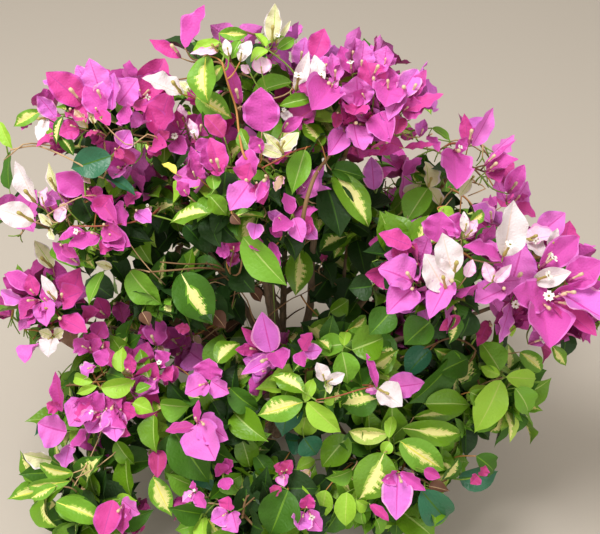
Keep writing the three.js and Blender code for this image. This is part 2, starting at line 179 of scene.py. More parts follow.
class Line:
    """A smooth line through points, measured along its length."""

    SHORTEST = 1e-4  # between two points
    NUDGE = 0.01  # the share of the length to both sides over which a tangent is taken

    def __init__(self, points, steps=12):
        points = [np.array(point, dtype=float) for point in points]
        ends = [2 * points[0] - points[1], *points, 2 * points[-1] - points[-2]]
        dense = [points[0]]
        for before, start, end, after in zip(ends, ends[1:], ends[2:], ends[3:]):
            pairs = ((before, start), (start, end), (end, after))
            spans = [max(np.linalg.norm(b - a), self.SHORTEST) ** 0.5 for a, b in pairs]
            leave = (start - before) / spans[0] - (end - before) / (spans[0] + spans[1])
            leave = (leave + (end - start) / spans[1]) * spans[1]
            arrive = (end - start) / spans[1] - (after - start) / (spans[1] + spans[2])
            arrive = (arrive + (after - end) / spans[2]) * spans[1]
            for t in np.linspace(0, 1, steps + 1)[1:]:
                bend = (3 * (end - start) - 2 * leave - arrive) * t * t
                dense.append(start + leave * t + bend + (2 * (start - end) + leave + arrive) * t**3)
        self.points = np.array(dense)
        gaps = np.linalg.norm(np.diff(self.points, axis=0), axis=1)
        self.marks = np.concatenate(([0.0], np.cumsum(gaps)))
        self.length = self.marks[-1]

    def at(self, share):
        return np.array([np.interp(share * self.length, self.marks, self.points[:, i]) for i in range(3)])

    def tangent(self, share):
        return unit(self.at(min(share + self.NUDGE, 1)) - self.at(max(share - self.NUDGE, 0)))

    def spaced(self, count):
        """Points that cut the line into this many equal stretches."""
        places = np.linspace(0, self.length, count + 1)
        return np.stack([np.interp(places, self.marks, self.points[:, i]) for i in range(3)], axis=1)


class Space:
    """The room of one mass: its own ellipsoid, cut by a plane towards each neighbour."""

    LEAST_TOWARDS = 0.01  # the least cosine to a neighbour for which its plane counts

    def __init__(self, mass):
        self.middle = np.array(mass.middle, dtype=float)
        self.half = np.array(mass.half, dtype=float)
        others = [other for other in MASSES if other.name != mass.name]
        away = np.array([other.middle for other in others]) - self.middle
        distance = np.linalg.norm(away, axis=1)
        self.normals = away / distance[:, None]
        own = 1 / np.linalg.norm(self.normals / self.half, axis=1)
        theirs = 1 / np.linalg.norm(self.normals / np.array([other.half for other in others]), axis=1)
        self.reaches = distance * own / (own + theirs)

    def room(self, way):
        """How far it is from the middle to the edge this way."""
        edge = 1 / np.linalg.norm(way / self.half)
        return min(edge, (self.reaches / np.maximum(self.normals @ way, self.LEAST_TOWARDS)).min())

    def settled(self, point, margin):
        """A point drawn in until it is this far inside the ellipsoid and above the ground."""
        out = point - self.middle
        share = np.linalg.norm(out / (self.half - margin))
        inside = self.middle + out / max(share, 1)
        inside[2] = max(inside[2], GROUND_CLEARANCE + margin)
        return inside


def lean_at(height):
    """How far the trunk has leaned over at this height."""
    return TRUNK_LEAN * (height / TRUNK_HEIGHT) ** 2


def limb_line(mass, space, grown):
    """A limb from the trunk or from one that is grown already, by its points, to where its mass starts."""
    limb = mass.limb
    carrier = grown.get(limb.carrier)
    start = carrier.at(limb.place) if carrier else np.array((lean_at(limb.place), 0.0, limb.place))
    last = np.array(limb.via[-1], dtype=float)
    back = unit(last - space.middle)
    return Line([start, *limb.via, space.middle + back * space.room(back) * LIMB_END])


SPACES = {mass.name: Space(mass) for mass in MASSES}
LIMBS = {}
for mass in MASSES:
    LIMBS[mass.name] = limb_line(mass, SPACES[mass.name], LIMBS)

# The photo's camera: it looks down by about 36 degrees. Places in the photo are pixels from its
# upper left corner.
PHOTO = (600, 534)
LENS = 60
SENSOR = 36  # wide
FOCAL = PHOTO[0] * LENS / SENSOR
CAMERA_PLACE = np.array((25.0, -890.0, 880.0))
CAMERA_PITCH = math.radians(54.3)  # up from straight down
AHEAD = np.array((0.0, math.sin(CAMERA_PITCH), -math.cos(CAMERA_PITCH)))
UPWARD = np.array((0.0, math.cos(CAMERA_PITCH), math.sin(CAMERA_PITCH)))
RIGHTWARD = np.array((1.0, 0.0, 0.0))
MM_PER_PIXEL = 1.08  # about, at the bush
SKIN = 0.9  # where a mass's foliage starts to be dense, as a share of its reach


def sight(x, y):
    """The way from the camera through a place in the photo, one millimetre deep."""
    return AHEAD + RIGHTWARD * (x - PHOTO[0] / 2) / FOCAL + UPWARD * (PHOTO[1] / 2 - y) / FOCAL


def in_photo(points):
    """Where points are in the photo, and how deep they lie."""
    out = points - CAMERA_PLACE
    depths = out @ AHEAD
    places = np.stack((out @ RIGHTWARD, -(out @ UPWARD)), axis=-1) / depths[..., None] * FOCAL
    return places + np.array(PHOTO) / 2, depths


def first_mass(x, y):
    """How deep the first mass is met behind a place in the photo, or else the nearest one is passed."""
    way = sight(x, y)
    met, passed = [], []
    for space in SPACES.values():
        out, run = (CAMERA_PLACE - space.middle) / space.half, way / space.half
        nearest = -(out @ run) / (run @ run)
        missed = out @ out - nearest**2 * (run @ run)
        passed.append((missed, nearest))
        if missed < SKIN**2:
            met.append(nearest - math.sqrt((SKIN**2 - missed) / (run @ run)))
    return min(met) if met else min(passed)[1]


# Finishes


def colour(code):
    """An sRGB hex colour as linear red, green, blue and alpha."""
    parts = [int(code[i : i + 2], 16) / 255 for i in (1, 3, 5)]
    return (*[part / 12.92 if part <= 0.04045 else ((part + 0.055) / 1.055) ** 2.4 for part in parts], 1.0)


def add_node(tree, kind, settings=None, values=None, links=None):
    """A node with its settings, the values of its sockets, and the sockets that feed it."""
    node = tree.nodes.new(kind)
    for name, value in (settings or {}).items():
        setattr(node, name, value)
    for name, value in (values or {}).items():
        node.inputs[name].default_value = value
    for name, source in (links or {}).items():
        tree.links.new(source, node.inputs[name])
    return node


def tissue(name, code, roughness, ior=1.45, sheen=0.0, veins=0.0, relief=0.0):
    """Living tissue of one colour, so that the colour's own place is where its leaf or bract is.

    Its net of small veins has meshes of this many millimetres, and stands up by the relief.
    """
    material = bpy.data.materials.new(name)
    material.use_nodes = True
    shader = material.node_tree.nodes["Principled BSDF"]
    shader.inputs["Base Color"].default_value = colour(code)
    shader.inputs["Roughness"].default_value = roughness
    shader.inputs["IOR"].default_value = ior
    shader.inputs["Sheen Weight"].default_value = sheen
    if veins:
        tree = material.node_tree
        place = add_node(tree, "ShaderNodeTexCoord").outputs["Object"]
        net = add_node(
            tree,
            "ShaderNodeTexVoronoi",
            settings={"feature": "DISTANCE_TO_EDGE"},
            values={"Scale": 1 / (veins * MM)},
            links={"Vector": place},
        )
        raised = add_node(
            tree,
            "ShaderNodeBump",
            values={"Strength": 0.7, "Distance": relief * MM},
            links={"Height": net.outputs["Distance"]},
        )
        tree.links.new(raised.outputs["Normal"], shader.inputs["Normal"])
    return material


# Bracts are leaves gone papery: dry, thin and matt, so light spreads over them with hardly a highlight.
PAPER = dict(roughness=0.6, ior=1.38, sheen=0.1, veins=3.2, relief=0.9)
# Full-grown leaves have a thin wax skin: satin, with a soft broad highlight along the fold.
WAX = dict(roughness=0.4, ior=1.46, veins=4.5, relief=0.8)
# Old leaves inside the crown have lost their shine.
DULL = dict(roughness=0.5, ior=1.36, veins=4.5, relief=0.8)
# Young leaves are thinner and softer, with a wider and weaker shine.
YOUNG = dict(roughness=0.5, ior=1.42, veins=4.5, relief=0.8)


def tissues(skin, **codes):
    """Tissues that differ in colour alone."""
    return {name: tissue(name, code, **skin) for name, code in codes.items()}


# Withered leaves and old shoots are dry and dull. Flowers and young shoots are smooth and soft.
TISSUES = {
    **tissues(
        PAPER,
        # The three magentas, light, plain and deep, are lighter and darker copies of one bract colour: a
        # random tone on grown trios, and partly painted light and painted shade on bracts that stand out.
        bract_magenta_light="#E274CB", bract_magenta="#D250AE", bract_magenta_deep="#C14296",
        bract_orchid="#DE76D4", bract_rose="#D6469A", bract_crimson="#BE3F7C", bract_pink="#F4A6DC",
        bract_blush="#F8D3E8", bract_white="#EBDEE0", bract_cream="#E2DDAE", bract_withered="#BFA083",
        bract_vein="#CC4FA6", bract_vein_pale="#E9CFC4",
    ),
    **tissues(
        YOUNG,
        leaf_lime="#9ECB3C", leaf_fresh="#74A82C", leaf_cream="#F3EC98", leaf_yellow="#EDE45C",
        leaf_pale="#B4CE58",
    ),
    **tissues(WAX, leaf_green="#6A971A", leaf_bluish="#35704F", leaf_rib="#A9C365"),
    # Deep and dark green: old leaves' own colour, and partly painted shade inside and at the back of the
    # crown.
    **tissues(DULL, leaf_deep="#43701C", leaf_dark="#28461A"),
    **tissues(
        dict(roughness=0.55),
        flower_white="#FBF6EA", flower_tube="#E3C9A0", flower_tube_green="#B8A85C",
        flower_foot="#B0587E", shoot_orange="#C4884A", shoot_red="#A4583C",
    ),
    **tissues(dict(roughness=0.5), shoot_green="#86A63E"),
    **tissues(dict(roughness=0.6), flower_throat="#8A7A30", shoot_tan="#C9A679"),
    # Withered leaves: a dry brown, darkened in part as painted shade of the crown's inside.
    **tissues(dict(roughness=0.65), leaf_withered="#6B4632"),
    **tissues(dict(roughness=0.7), twig_brown="#8A6844"),
}


def rough_bark():
    """Old bougainvillea bark: corky, grey-brown, split by fine upright cracks about 4 mm apart."""
    crack, patch, crack_depth = 4, 15, 0.6
    upward = 0.2  # cracks run up the trunk, so the pattern is stretched five times that way
    material = bpy.data.materials.new("rough_bark")
    material.use_nodes = True
    tree = material.node_tree
    shader = tree.nodes["Principled BSDF"]
    place = add_node(tree, "ShaderNodeTexCoord").outputs["Object"]
    upright = add_node(tree, "ShaderNodeMapping", values={"Scale": (1, 1, upward)}, links={"Vector": place})
    cracks = add_node(
        tree,
        "ShaderNodeTexNoise",
        values={"Scale": 1 / (crack * MM), "Detail": 6, "Roughness": 0.62},
        links={"Vector": upright.outputs["Vector"]},
    )
    # Patches of lichen and weathering
    patches = add_node(
        tree,
        "ShaderNodeTexNoise",
        values={"Scale": 1 / (patch * MM), "Detail": 3},
        links={"Vector": place},
    )
    tone = add_node(tree, "ShaderNodeValToRGB", links={"Fac": cracks.outputs["Fac"]})
    tone.color_ramp.elements[0].position = 0.36
    tone.color_ramp.elements[0].color = colour("#4E3827")
    tone.color_ramp.elements[1].position = 0.62
    tone.color_ramp.elements[1].color = colour("#9A7A57")
    worn = add_node(
        tree,
        "ShaderNodeMix",
        settings={"data_type": "RGBA"},
        links={"Factor": patches.outputs["Fac"]},
    )
    tree.links.new(tone.outputs["Color"], worn.inputs[6])
    worn.inputs[7].default_value = colour("#8C7A66")
    tree.links.new(worn.outputs[2], shader.inputs["Base Color"])
    relief = add_node(
        tree,
        "ShaderNodeBump",
        values={"Strength": 0.6, "Distance": crack_depth * MM},
        links={"Height": cracks.outputs["Fac"]},
    )
    tree.links.new(relief.outputs["Normal"], shader.inputs["Normal"])
    shader.inputs["Roughness"].default_value = 0.85
    return material


# Pieces


class Heap:
    """Meshes of one kind, gathered into one piece."""

    def __init__(self, name):
        self.name = name
        self.points = []
        self.corners = []
        self.sizes = []
        self.tissues = []
        self.used = []
        self.count = 0

    def slot(self, tissue_name):
        """The number of this tissue among those that the heap has used."""
        if tissue_name not in self.used:
            self.used.append(tissue_name)
        return self.used.index(tissue_name)

    def add(self, points, corners, sizes, zones, finish):
        """Faces whose zones index the finish, a list of tissue names."""
        slots = np.array([self.slot(name) for name in finish])
        self.points.append(points)
        self.corners.append(corners + self.count)
        self.sizes.append(sizes)
        self.tissues.append(slots[zones])
        self.count += len(points)

    def piece(self, slot, nodes, materials=None):
        """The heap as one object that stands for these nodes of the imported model."""
        sizes = np.concatenate(self.sizes)
        corners = np.concatenate(self.corners)
        mesh = bpy.data.meshes.new(self.name)
        mesh.vertices.add(self.count)
        mesh.vertices.foreach_set("co", (np.concatenate(self.points) * MM).astype(np.float32).ravel())
        mesh.loops.add(len(corners))
        mesh.loops.foreach_set("vertex_index", corners.astype(np.int32))
        mesh.polygons.add(len(sizes))
        mesh.polygons.foreach_set("loop_start", (np.cumsum(sizes) - sizes).astype(np.int32))
        for name in self.used:
            mesh.materials.append((materials or TISSUES)[name])
        mesh.polygons.foreach_set("material_index", np.concatenate(self.tissues).astype(np.int32))
        mesh.polygons.foreach_set("use_smooth", np.ones(len(sizes), dtype=bool))
        mesh.update(calc_edges=True)
        mesh.validate()
        piece = bpy.data.objects.new(self.name, mesh)
        bpy.context.scene.collection.objects.link(piece)
        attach(piece, "root")
        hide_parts(*nodes)
        return piece


def tube(points, radii, sides, shape=None):
    """A closed round bar along points. Shape gives each ring's own scales, for ridges and swellings."""
    points = np.asarray(points, dtype=float)
    ways = np.gradient(points, axis=0)
    ways /= np.linalg.norm(ways, axis=1)[:, None]
    side = perpendicular(ways[0], 0)
    angles = np.arange(sides) * math.tau / sides
    rings = []
    for i, (at, way, radius) in enumerate(zip(points, ways, radii)):
        side = unit(side - way * (side @ way))
        other = np.cross(way, side)
        spokes = np.outer(np.cos(angles), side) + np.outer(np.sin(angles), other)
        scales = shape(i, angles)[:, None] if shape else 1
        rings.append(at + spokes * radius * scales)
    count = len(points)
    body = np.concatenate([*rings, [points[0]], [points[-1]]])
    foot, top = count * sides, count * sides + 1
    around = np.arange(sides)
    onward = (around + 1) % sides
    square = np.stack((around, onward, sides + onward, sides + around), axis=1)
    quads = [i * sides + square for i in range(count - 1)]
    under = np.stack((np.full(sides, foot), onward, around), axis=1)
    over = np.stack((np.full(sides, top), foot - sides + around, foot - sides + onward), axis=1)
    corners = np.concatenate([np.concatenate(quads).ravel(), under.ravel(), over.ravel()])
    sizes = np.concatenate([np.full((count - 1) * sides, 4), np.full(2 * sides, 3)])
    return body, corners, sizes


# Blades: leaves and bracts


def half_width(share, widest, point):
    """Half the width of a blade at this share of its length, as a share of the greatest."""
    root = point * widest / (1 - widest)
    peak = widest**root * (1 - widest) ** point
    return share**root * (1 - share) ** point / peak


def both_sides(*outs):
    """A blade's columns, from one margin over the rib to the other, from those of one half."""
    return (*[-out for out in reversed(outs)], *outs)


RIB = 0.05  # half the width of a rib, as a share of half the blade's width
PLAIN_COLUMNS = both_sides(RIB, 0.55, 1)
FINE_COLUMNS = both_sides(RIB, 0.32, 0.62, 0.86, 1)
MARKED_COLUMNS = both_sides(RIB, 0.22, 0.4, 0.58, 0.78, 1)
FINE_MARKED_COLUMNS = both_sides(RIB, 0.15, 0.26, 0.37, 0.49, 0.61, 0.74, 0.87, 1)
ENDS_OUT = 0.3  # how far out a blade's root and tip count, where its mark is worked out
CREASES = 4
CREASE_SPANS = (0.2, 0.36)  # from one crease to the next, as shares of the blade's length
MOST_SWAY = 0.06  # how far the tip swings to one side, as a share of the length
MOST_LOPSIDED = 0.08  # how much wider one half is
RIB_END = 1.25  # as far as the rib is worked out, because the margins run ahead of it
RIB_POINTS = 51
EVEN_ROWS = 0.6  # the rest of the spacing of the rows draws them towards both ends

Blade = namedtuple("Blade", "points corners sizes zones")
BODY_LEFT, BODY_RIGHT, MIDRIB, MARK, MARK_EDGE = range(5)
MARGIN = MARK  # what a bract has where a leaf has its mark
MARK_EDGE_WIDTH = 0.13


def rib_line(length, bend, curl):
    """The rib from the side: shares of its length, and its slope, run and rise at each."""
    shares = np.linspace(0, RIB_END, RIB_POINTS)
    slopes = bend * shares + curl * shares**4
    step = (shares[1] - shares[0]) * length
    middles = (slopes[1:] + slopes[:-1]) / 2
    runs = np.concatenate(([0], np.cumsum(np.cos(middles) * step)))
    rises = -np.concatenate(([0], np.cumsum(np.sin(middles) * step)))
    return shares, slopes, runs, rises


def blade(form, dice, marked=False):
    """A leaf or bract of unit scale: folded along its rib, bent along its length, wavy at its margins.

    Its rows run forward from the rib to the margin, as the side veins do, and every other row is raised,
    so the blade looks quilted between its veins.
    """
    columns, rows = form["columns"], form["rows"]
    length, half = form["length"], form["width"] / 2
    bend, curl = dice.uniform(*form["bend"]), dice.uniform(*form["curl"])
    rib, slopes, runs, rises = rib_line(length, bend, curl)
    creases = [
        (dice.uniform(0, math.pi), dice.uniform(0, math.tau), dice.uniform(*CREASE_SPANS))
        for _ in range(CREASES)
    ]
    fold = math.tan(dice.uniform(*form["fold"]))
    waves = dice.uniform(*form["waves"])
    phases = {-1: dice.uniform(0, math.tau), 1: dice.uniform(0, math.tau)}
    sway = dice.uniform(-MOST_SWAY, MOST_SWAY)
    lopsided = dice.uniform(-MOST_LOPSIDED, MOST_LOPSIDED)
    cup = dice.uniform(*form["cup"])

    def place(share, column, row):
        wide = half_width(share, form["widest"], form["point"]) if 0 < share < 1 else 0
        out = abs(column)
        hand = 1 if column > 0 else -1
        across = column * wide * half * (1 + lopsided * hand) + sway * length * share * share
        run = length * (share + form["lead"] * out * math.sin(math.pi * share) * (1 - share))
        raised = form["quilt"] * (1 if row % 2 else -1) * math.sin(math.pi * min(out, 1)) * wide
        wave = form["wave"] * out * out * wide * math.sin(waves * math.tau * share + phases[hand])
        lift = fold * out * wide * half + raised + wave + cup * (out * wide) ** 2 * half
        for way, phase, span in creases:
            along = (run * math.cos(way) + across * math.sin(way)) / length
            lift += form["crumple"] * out * wide * math.sin(along / span * math.tau + phase)
        angle = np.interp(run / length, rib, slopes)
        x, z = np.interp(run / length, rib, runs), np.interp(run / length, rib, rises)
        return (x + lift * math.sin(angle), across, z + lift * math.cos(angle))

    points = [(0.0, 0.0, 0.0)]
    grid = [(0.0, ENDS_OUT)]  # each point's share of the length, and how far out it is
    for row in range(1, rows):
        drawn = 0.5 - 0.5 * math.cos(math.pi * row / rows)
        share = row / rows * EVEN_ROWS + (1 - EVEN_ROWS) * drawn
        for column in columns:
            shift = form["jitter"] if abs(column) < 1 else form["jitter"] / 2
            x, y, z = place(share, column, row)
            x += dice.uniform(-shift, shift)
            y += dice.uniform(-shift, shift) * abs(column)
            points.append((x, y, z))
            grid.append((share, abs(column)))
    points.append(place(1, 0, 0))
    grid.append((1.0, ENDS_OUT))
    corners, sizes, zones = blade_faces(form, grid, leaf_marks(dice) if marked else None)
    return Blade(np.array(points), np.array(corners), np.array(sizes), np.array(zones))


def blade_faces(form, grid, marks):
    """The faces between a blade's rows and columns, and the zone of each. Marked halves have triangles."""
    rows, wide = form["rows"], len(form["columns"])
    last = len(grid) - 1
    corners, sizes, zones = [], [], []
    for row in range(rows):
        for j in range(wide - 1):
            here = 1 + (row - 1) * wide + j
            ahead = here + wide
            rib = j == wide // 2 - 1
            left = j < wide // 2 - 1
            if row == 0:
                faces = [(0, 2 + j, 1 + j)]
            elif row == rows - 1:
                faces = [(here, here + 1, last)]
            elif not marks:
                faces = [(here, here + 1, ahead + 1, ahead)]
            elif left:
                faces = [(here, here + 1, ahead), (here + 1, ahead + 1, ahead)]
            else:
                faces = [(here, here + 1, ahead + 1), (here, ahead + 1, ahead)]
            zone = MIDRIB if rib else BODY_LEFT if left else BODY_RIGHT
            if form["margin"] and j in (0, wide - 2):
                zone = MARGIN
            for face in faces:
                corners += face
                sizes.append(len(face))
                if marks and not rib:
                    spots = [grid[corner] for corner in face]
                    zones.append(marked_zone(marks[0 if left else 1], spots, zone))
                else:
                    zones.append(zone)
    return corners, sizes, zones


def leaf_marks(dice):
    """Where a leaf is cream on either side of its rib, with teeth that follow the side veins."""
    wide = dice.choice((0.3, 0.5, 0.7))
    sides = []
    for share in dice.choice(((1, 1), (1, 0.5), (0.5, 1), (1, 0.25), (0.25, 1))):
        start, end = dice.uniform(0.02, 0.28), dice.uniform(0.72, 0.99)
        sides.append((wide * share, start, end, dice.uniform(5, 9), dice.random(), dice.uniform(0.3, 0.6)))
    return sides


def mark_reach(side, share):
    """How far out from the rib the cream reaches at this share of the length."""
    wide, start, end, teeth, phase, depth = side
    if not start < share < end:
        return 0.0
    swell = math.sin(math.pi * (share - start) / (end - start)) ** 0.6
    tooth = 1 - (share * teeth + phase + 0.3 * math.sin(share * 11 + phase * 6)) % 1
    return wide * swell * (1 - depth + 1.4 * depth * tooth)


def marked_zone(side, spots, plain):
    """Whether a face with corners at these spots is in the mark, at its edge, or plain."""
    share = sum(spot[0] for spot in spots) / len(spots)
    out = sum(spot[1] for spot in spots) / len(spots)
    reach = mark_reach(side, share)
    if out < reach:
        return MARK
    return MARK_EDGE if reach > 0 and out < reach + MARK_EDGE_WIDTH else plain


LEAF_FORM = dict(
    length=52, width=32, widest=0.33, point=1.45, rows=10, columns=PLAIN_COLUMNS, margin=False,
    bend=(0.15, 1.0), curl=(-0.2, 0.9), fold=(0.18, 0.6), cup=(-0.15, 0.25),
    waves=(1.2, 2.4), wave=2.0, lead=0.16, quilt=0.35, crumple=0.2, jitter=0.5,
)
BROAD_LEAF_FORM = dict(LEAF_FORM, width=37, widest=0.33, point=1.25, fold=(0.1, 0.45), bend=(0.1, 0.8))
BRACT_FORM = dict(
    length=43, width=34, widest=0.37, point=0.92, rows=10, columns=PLAIN_COLUMNS, margin=False,
    bend=(-0.8, 0.5), curl=(-0.5, 0.9), fold=(0.1, 0.5), cup=(0.0, 0.5),
    waves=(1.5, 3.2), wave=3.4, lead=0.14, quilt=0.4, crumple=0.35, jitter=0.5,
)
LONG_BRACT_FORM = dict(BRACT_FORM, width=29, widest=0.4, point=1.02)
LEAF_FORMS = (BROAD_LEAF_FORM, LEAF_FORM)
BRACT_FORMS = (LONG_BRACT_FORM, BRACT_FORM, BRACT_FORM)
VARIANTS = 10
MOULD = random.Random(7)


def moulded(forms, marked=False, **changes):
    """Variants of a blade, from these forms in turn."""
    return [blade(dict(forms[i % len(forms)], **changes), MOULD, marked) for i in range(VARIANTS)]


LEAVES = moulded(LEAF_FORMS)
MARKED_LEAVES = moulded(LEAF_FORMS, True, rows=14, columns=MARKED_COLUMNS)
BRACTS = moulded(BRACT_FORMS)
# For those that stand out: smoother outlines, and bracts with a margin
FINE = dict(rows=16, columns=FINE_COLUMNS, jitter=0.25)
FINE_MARKED = dict(rows=22, columns=FINE_MARKED_COLUMNS, jitter=0.25)
FINE_LEAVES = moulded(LEAF_FORMS, quilt=0.5, **FINE)
FINE_MARKED_LEAVES = moulded(LEAF_FORMS, True, quilt=0.5, **FINE_MARKED)
FINE_BRACTS = moulded(BRACT_FORMS, margin=True, crumple=0.6, bend=(-0.5, 0.3), curl=(-0.4, 0.5), **FINE)

# Each kind of leaf: the colours of both its halves, its rib, its mark and the edge of its mark
LEAF_SHADES = {
    "lime": ("lime", "pale", "yellow", "pale"),
    "fresh": ("fresh", "rib", "cream", "lime"),
    "green": ("green", "rib", "cream", "fresh"),
    "deep": ("deep", "green", "cream", "green"),
    "dark": ("dark", "deep", "cream", "deep"),
    "bluish": ("bluish", "deep", "cream", "deep"),
    "variegated": ("green", "cream", "cream", "pale"),
    "variegated_fresh": ("fresh", "yellow", "cream", "pale"),
    "variegated_deep": ("deep", "cream", "cream", "fresh"),
    "cream": ("pale", "cream", "cream", "cream"),
    "lemon": ("yellow", "cream", "cream", "yellow"),
}
LEAF_KINDS = {kind: ["leaf_" + part for part in (parts[0], *parts)] for kind, parts in LEAF_SHADES.items()}
LEAF_KINDS["withered"] = ["leaf_withered", "leaf_withered", "shoot_tan", "shoot_tan", "shoot_tan"]
MARKED_KINDS = ("variegated", "variegated_fresh", "variegated_deep", "cream")
# Each kind of bract: the colours of its left half, its right half, its rib and its margin
BRACT_SHADES = {
    "light": ("magenta_light", "magenta_light", "vein", "orchid"),
    "orchid": ("orchid", "orchid", "magenta", "pink"),
    "magenta": ("magenta", "magenta", "vein", "magenta_light"),
    "rose": ("rose", "rose", "magenta_deep", "magenta"),
    "deep": ("magenta_deep", "magenta_deep", "crimson", "magenta"),
    "crimson": ("crimson", "crimson", "magenta_deep", "magenta_deep"),
    "pink": ("pink", "magenta_light", "vein", "magenta_light"),
    "blush": ("blush", "blush", "pink", "pink"),
    "white": ("white", "white", "vein_pale", "white"),
}
BRACT_KINDS = {kind: ["bract_" + part for part in parts] for kind, parts in BRACT_SHADES.items()}
BRACT_KINDS["cream"] = ["bract_cream", "bract_cream", "leaf_pale", "bract_white"]
BRACT_KINDS["withered"] = ["bract_withered", "bract_withered", "shoot_tan", "bract_pink"]


def lay(heap, shape, finish, root, along, face, scale, roll=0.0, breadth=None):
    """Puts a blade on a heap: root, direction, and the way its upper side faces."""
    normal = unit(face - along * (face @ along))
    side = np.cross(normal, along)
    if roll:
        turned = normal * math.cos(roll) + side * math.sin(roll)
        side = side * math.cos(roll) - normal * math.sin(roll)
        normal = turned
    sizes = np.array((scale, breadth or scale, breadth or scale))
    zones = np.minimum(shape.zones, len(finish) - 1)
    points = root + (shape.points * sizes) @ np.stack((along, side, normal))
    heap.add(points, shape.corners, shape.sizes, zones, finish)


# Small flowers that sit between the bracts

FLOWER_SIDES = 6
FOOT_ROWS = 3
TUBE_PROFILE = ((0.5, 0), (1.5, 2.5), (1.7, 5), (1.1, 8), (1.15, 13))  # radii and heights
OPEN_MOUTH = ((1.5, 16), (1.2, 16.3))
CLOSED_BUD = ((1.9, 16), (1.5, 18.5))
LOBES = 5
# Round the star, for each lobe: its notch, its shoulder, its middle and its other shoulder
LOBE_REACHES = (2.9, 4.7, 4.0, 4.7)
LOBE_HEIGHTS = (16.0, 16.6, 17.4, 16.6)
THROAT_RADIUS = 1.1
THROAT_HEIGHT = 16.4
FOOT, TUBE, STAR, THROAT = range(4)


def flower(opened):
    """A slender tube on a swollen foot. When open it ends in a flat star of five notched lobes."""
    profile = TUBE_PROFILE + (OPEN_MOUTH if opened else CLOSED_BUD)
    spine = np.array([(0.0, 0.0, height) for _, height in profile])
    points, corners, sizes = tube(spine, [radius for radius, _ in profile], FLOWER_SIDES)
    zones = np.full(len(sizes), TUBE)
    zones[: FLOWER_SIDES * FOOT_ROWS] = FOOT
    if opened:
        zones[-FLOWER_SIDES:] = THROAT
        count = LOBES * len(LOBE_REACHES)
        around = np.arange(count)
        onward = (around + 1) % count
        angles = around * math.tau / count
        circle = np.stack((np.cos(angles), np.sin(angles)), axis=1)
        reaches, rises = np.tile(LOBE_REACHES, LOBES), np.tile(LOBE_HEIGHTS, LOBES)
        edge = np.column_stack((circle * reaches[:, None], rises))
        throat = np.column_stack((circle * THROAT_RADIUS, np.full(count, THROAT_HEIGHT)))
        star = np.stack((around, onward, count + onward, count + around), axis=1) + len(points)
        points = np.concatenate((points, edge, throat))
        corners = np.concatenate((corners, star.ravel()))
        sizes = np.concatenate((sizes, np.full(count, 4)))
        zones = np.concatenate((zones, np.full(count, STAR)))
    return Blade(points[:, [2, 0, 1]], corners, sizes, zones)


CLOSED_FLOWER = flower(False)
OPEN_FLOWER = flower(True)
FLOWER_FINISH = ("flower_foot", "flower_tube", "flower_white", "flower_throat")
PALE_FLOWER_FINISH = ("flower_tube_green", "flower_tube_green", "flower_white", "flower_throat")

# The bush

TWIG_REACH = 0.66  # where a mass's main twigs end, as a share of the way to its edge
BLADE_ROOM = 34  # left between the ends of twigs and the edge of the mass, for the blades
SIDE_TWIGS = (0.42, 0.66, 0.86)  # where a main twig carries side twigs
SIDE_TWIG_LENGTHS = (30, 56)
SHORTEST_TWIG = 12
INNER_LEAVES = (0.14, 0.34)  # where a main twig carries old leaves, dark green, which is partly painted shade inside the crown
INNER_REACH = 0.62  # how far out their tips may be, as a share of the mass
SMALLEST = 0.25  # a blade that has to be smaller than this, to fit in, is left out

# The share of a mass's side twigs that are left out, where the crown is thin
AIRY = {
    "left_tip": 0.85, "right_high": 0.45, "left_low": 0.4,
    "crest": 0.85, "low_left_front": 0.5, "top_left": 0.3,
}
AIRY_ELSEWHERE = 0.12
LOW = 210  # masses whose middle is below this are dense, and their leaves larger
LOW_BLOOM = 230  # twigs that end below this seldom bloom
RICH_BLOOM = 0.65  # masses with a larger share of twigs in bloom are nearly covered by bracts
BACK = 60  # what is this far back has the plain leaves of the shaded side, whose darker greens are partly painted shade
FRONT_HALF = 30  # twigs that end before this bloom only where the photo has bracts

# Kept free of leaves, because light comes through there and round the outline: places in the photo,
# and radii in pixels.
OPENINGS = [
    (298, 306, 22), (276, 294, 16), (38, 160, 16), (46, 180, 14), (12, 248, 20), (32, 258, 10),
    (8, 338, 20), (36, 378, 16), (60, 358, 14), (20, 408, 16), (236, 12, 18), (412, 46, 14),
    (432, 60, 17), (446, 84, 14), (512, 128, 20), (530, 158, 14), (536, 180, 10), (585, 222, 16),
    (560, 205, 10), (445, 147, 9), (483, 152, 10), (478, 182, 9), (470, 200, 9), (412, 114, 8),
    (432, 122, 8), (416, 148, 8), (388, 182, 8), (64, 168, 8), (84, 224, 8), (256, 14, 10),
    (298, 14, 11), (368, 24, 12), (90, 50, 12), (120, 56, 12), (140, 60, 10), (446, 108, 12),
    (484, 98, 12), (598, 238, 12), (264, 20, 10), (30, 238, 12), (30, 184, 9), (4, 192, 8),
    (172, 66, 9), (192, 74, 7), (38, 402, 10), (472, 502, 14),
]
BLADE_REACH = 7  # how far a blade may reach back into an opening
OPENING_WAYS = np.array([unit(sight(x, y)) for x, y, _ in OPENINGS])
OPENING_REACHES = np.array([radius * MM_PER_PIXEL + BLADE_REACH for _, _, radius in OPENINGS])


def in_opening(at):
    out = at - CAMERA_PLACE
    aside = np.linalg.norm(out - (OPENING_WAYS @ out)[:, None] * OPENING_WAYS, axis=1)
    return bool((aside < OPENING_REACHES).any())


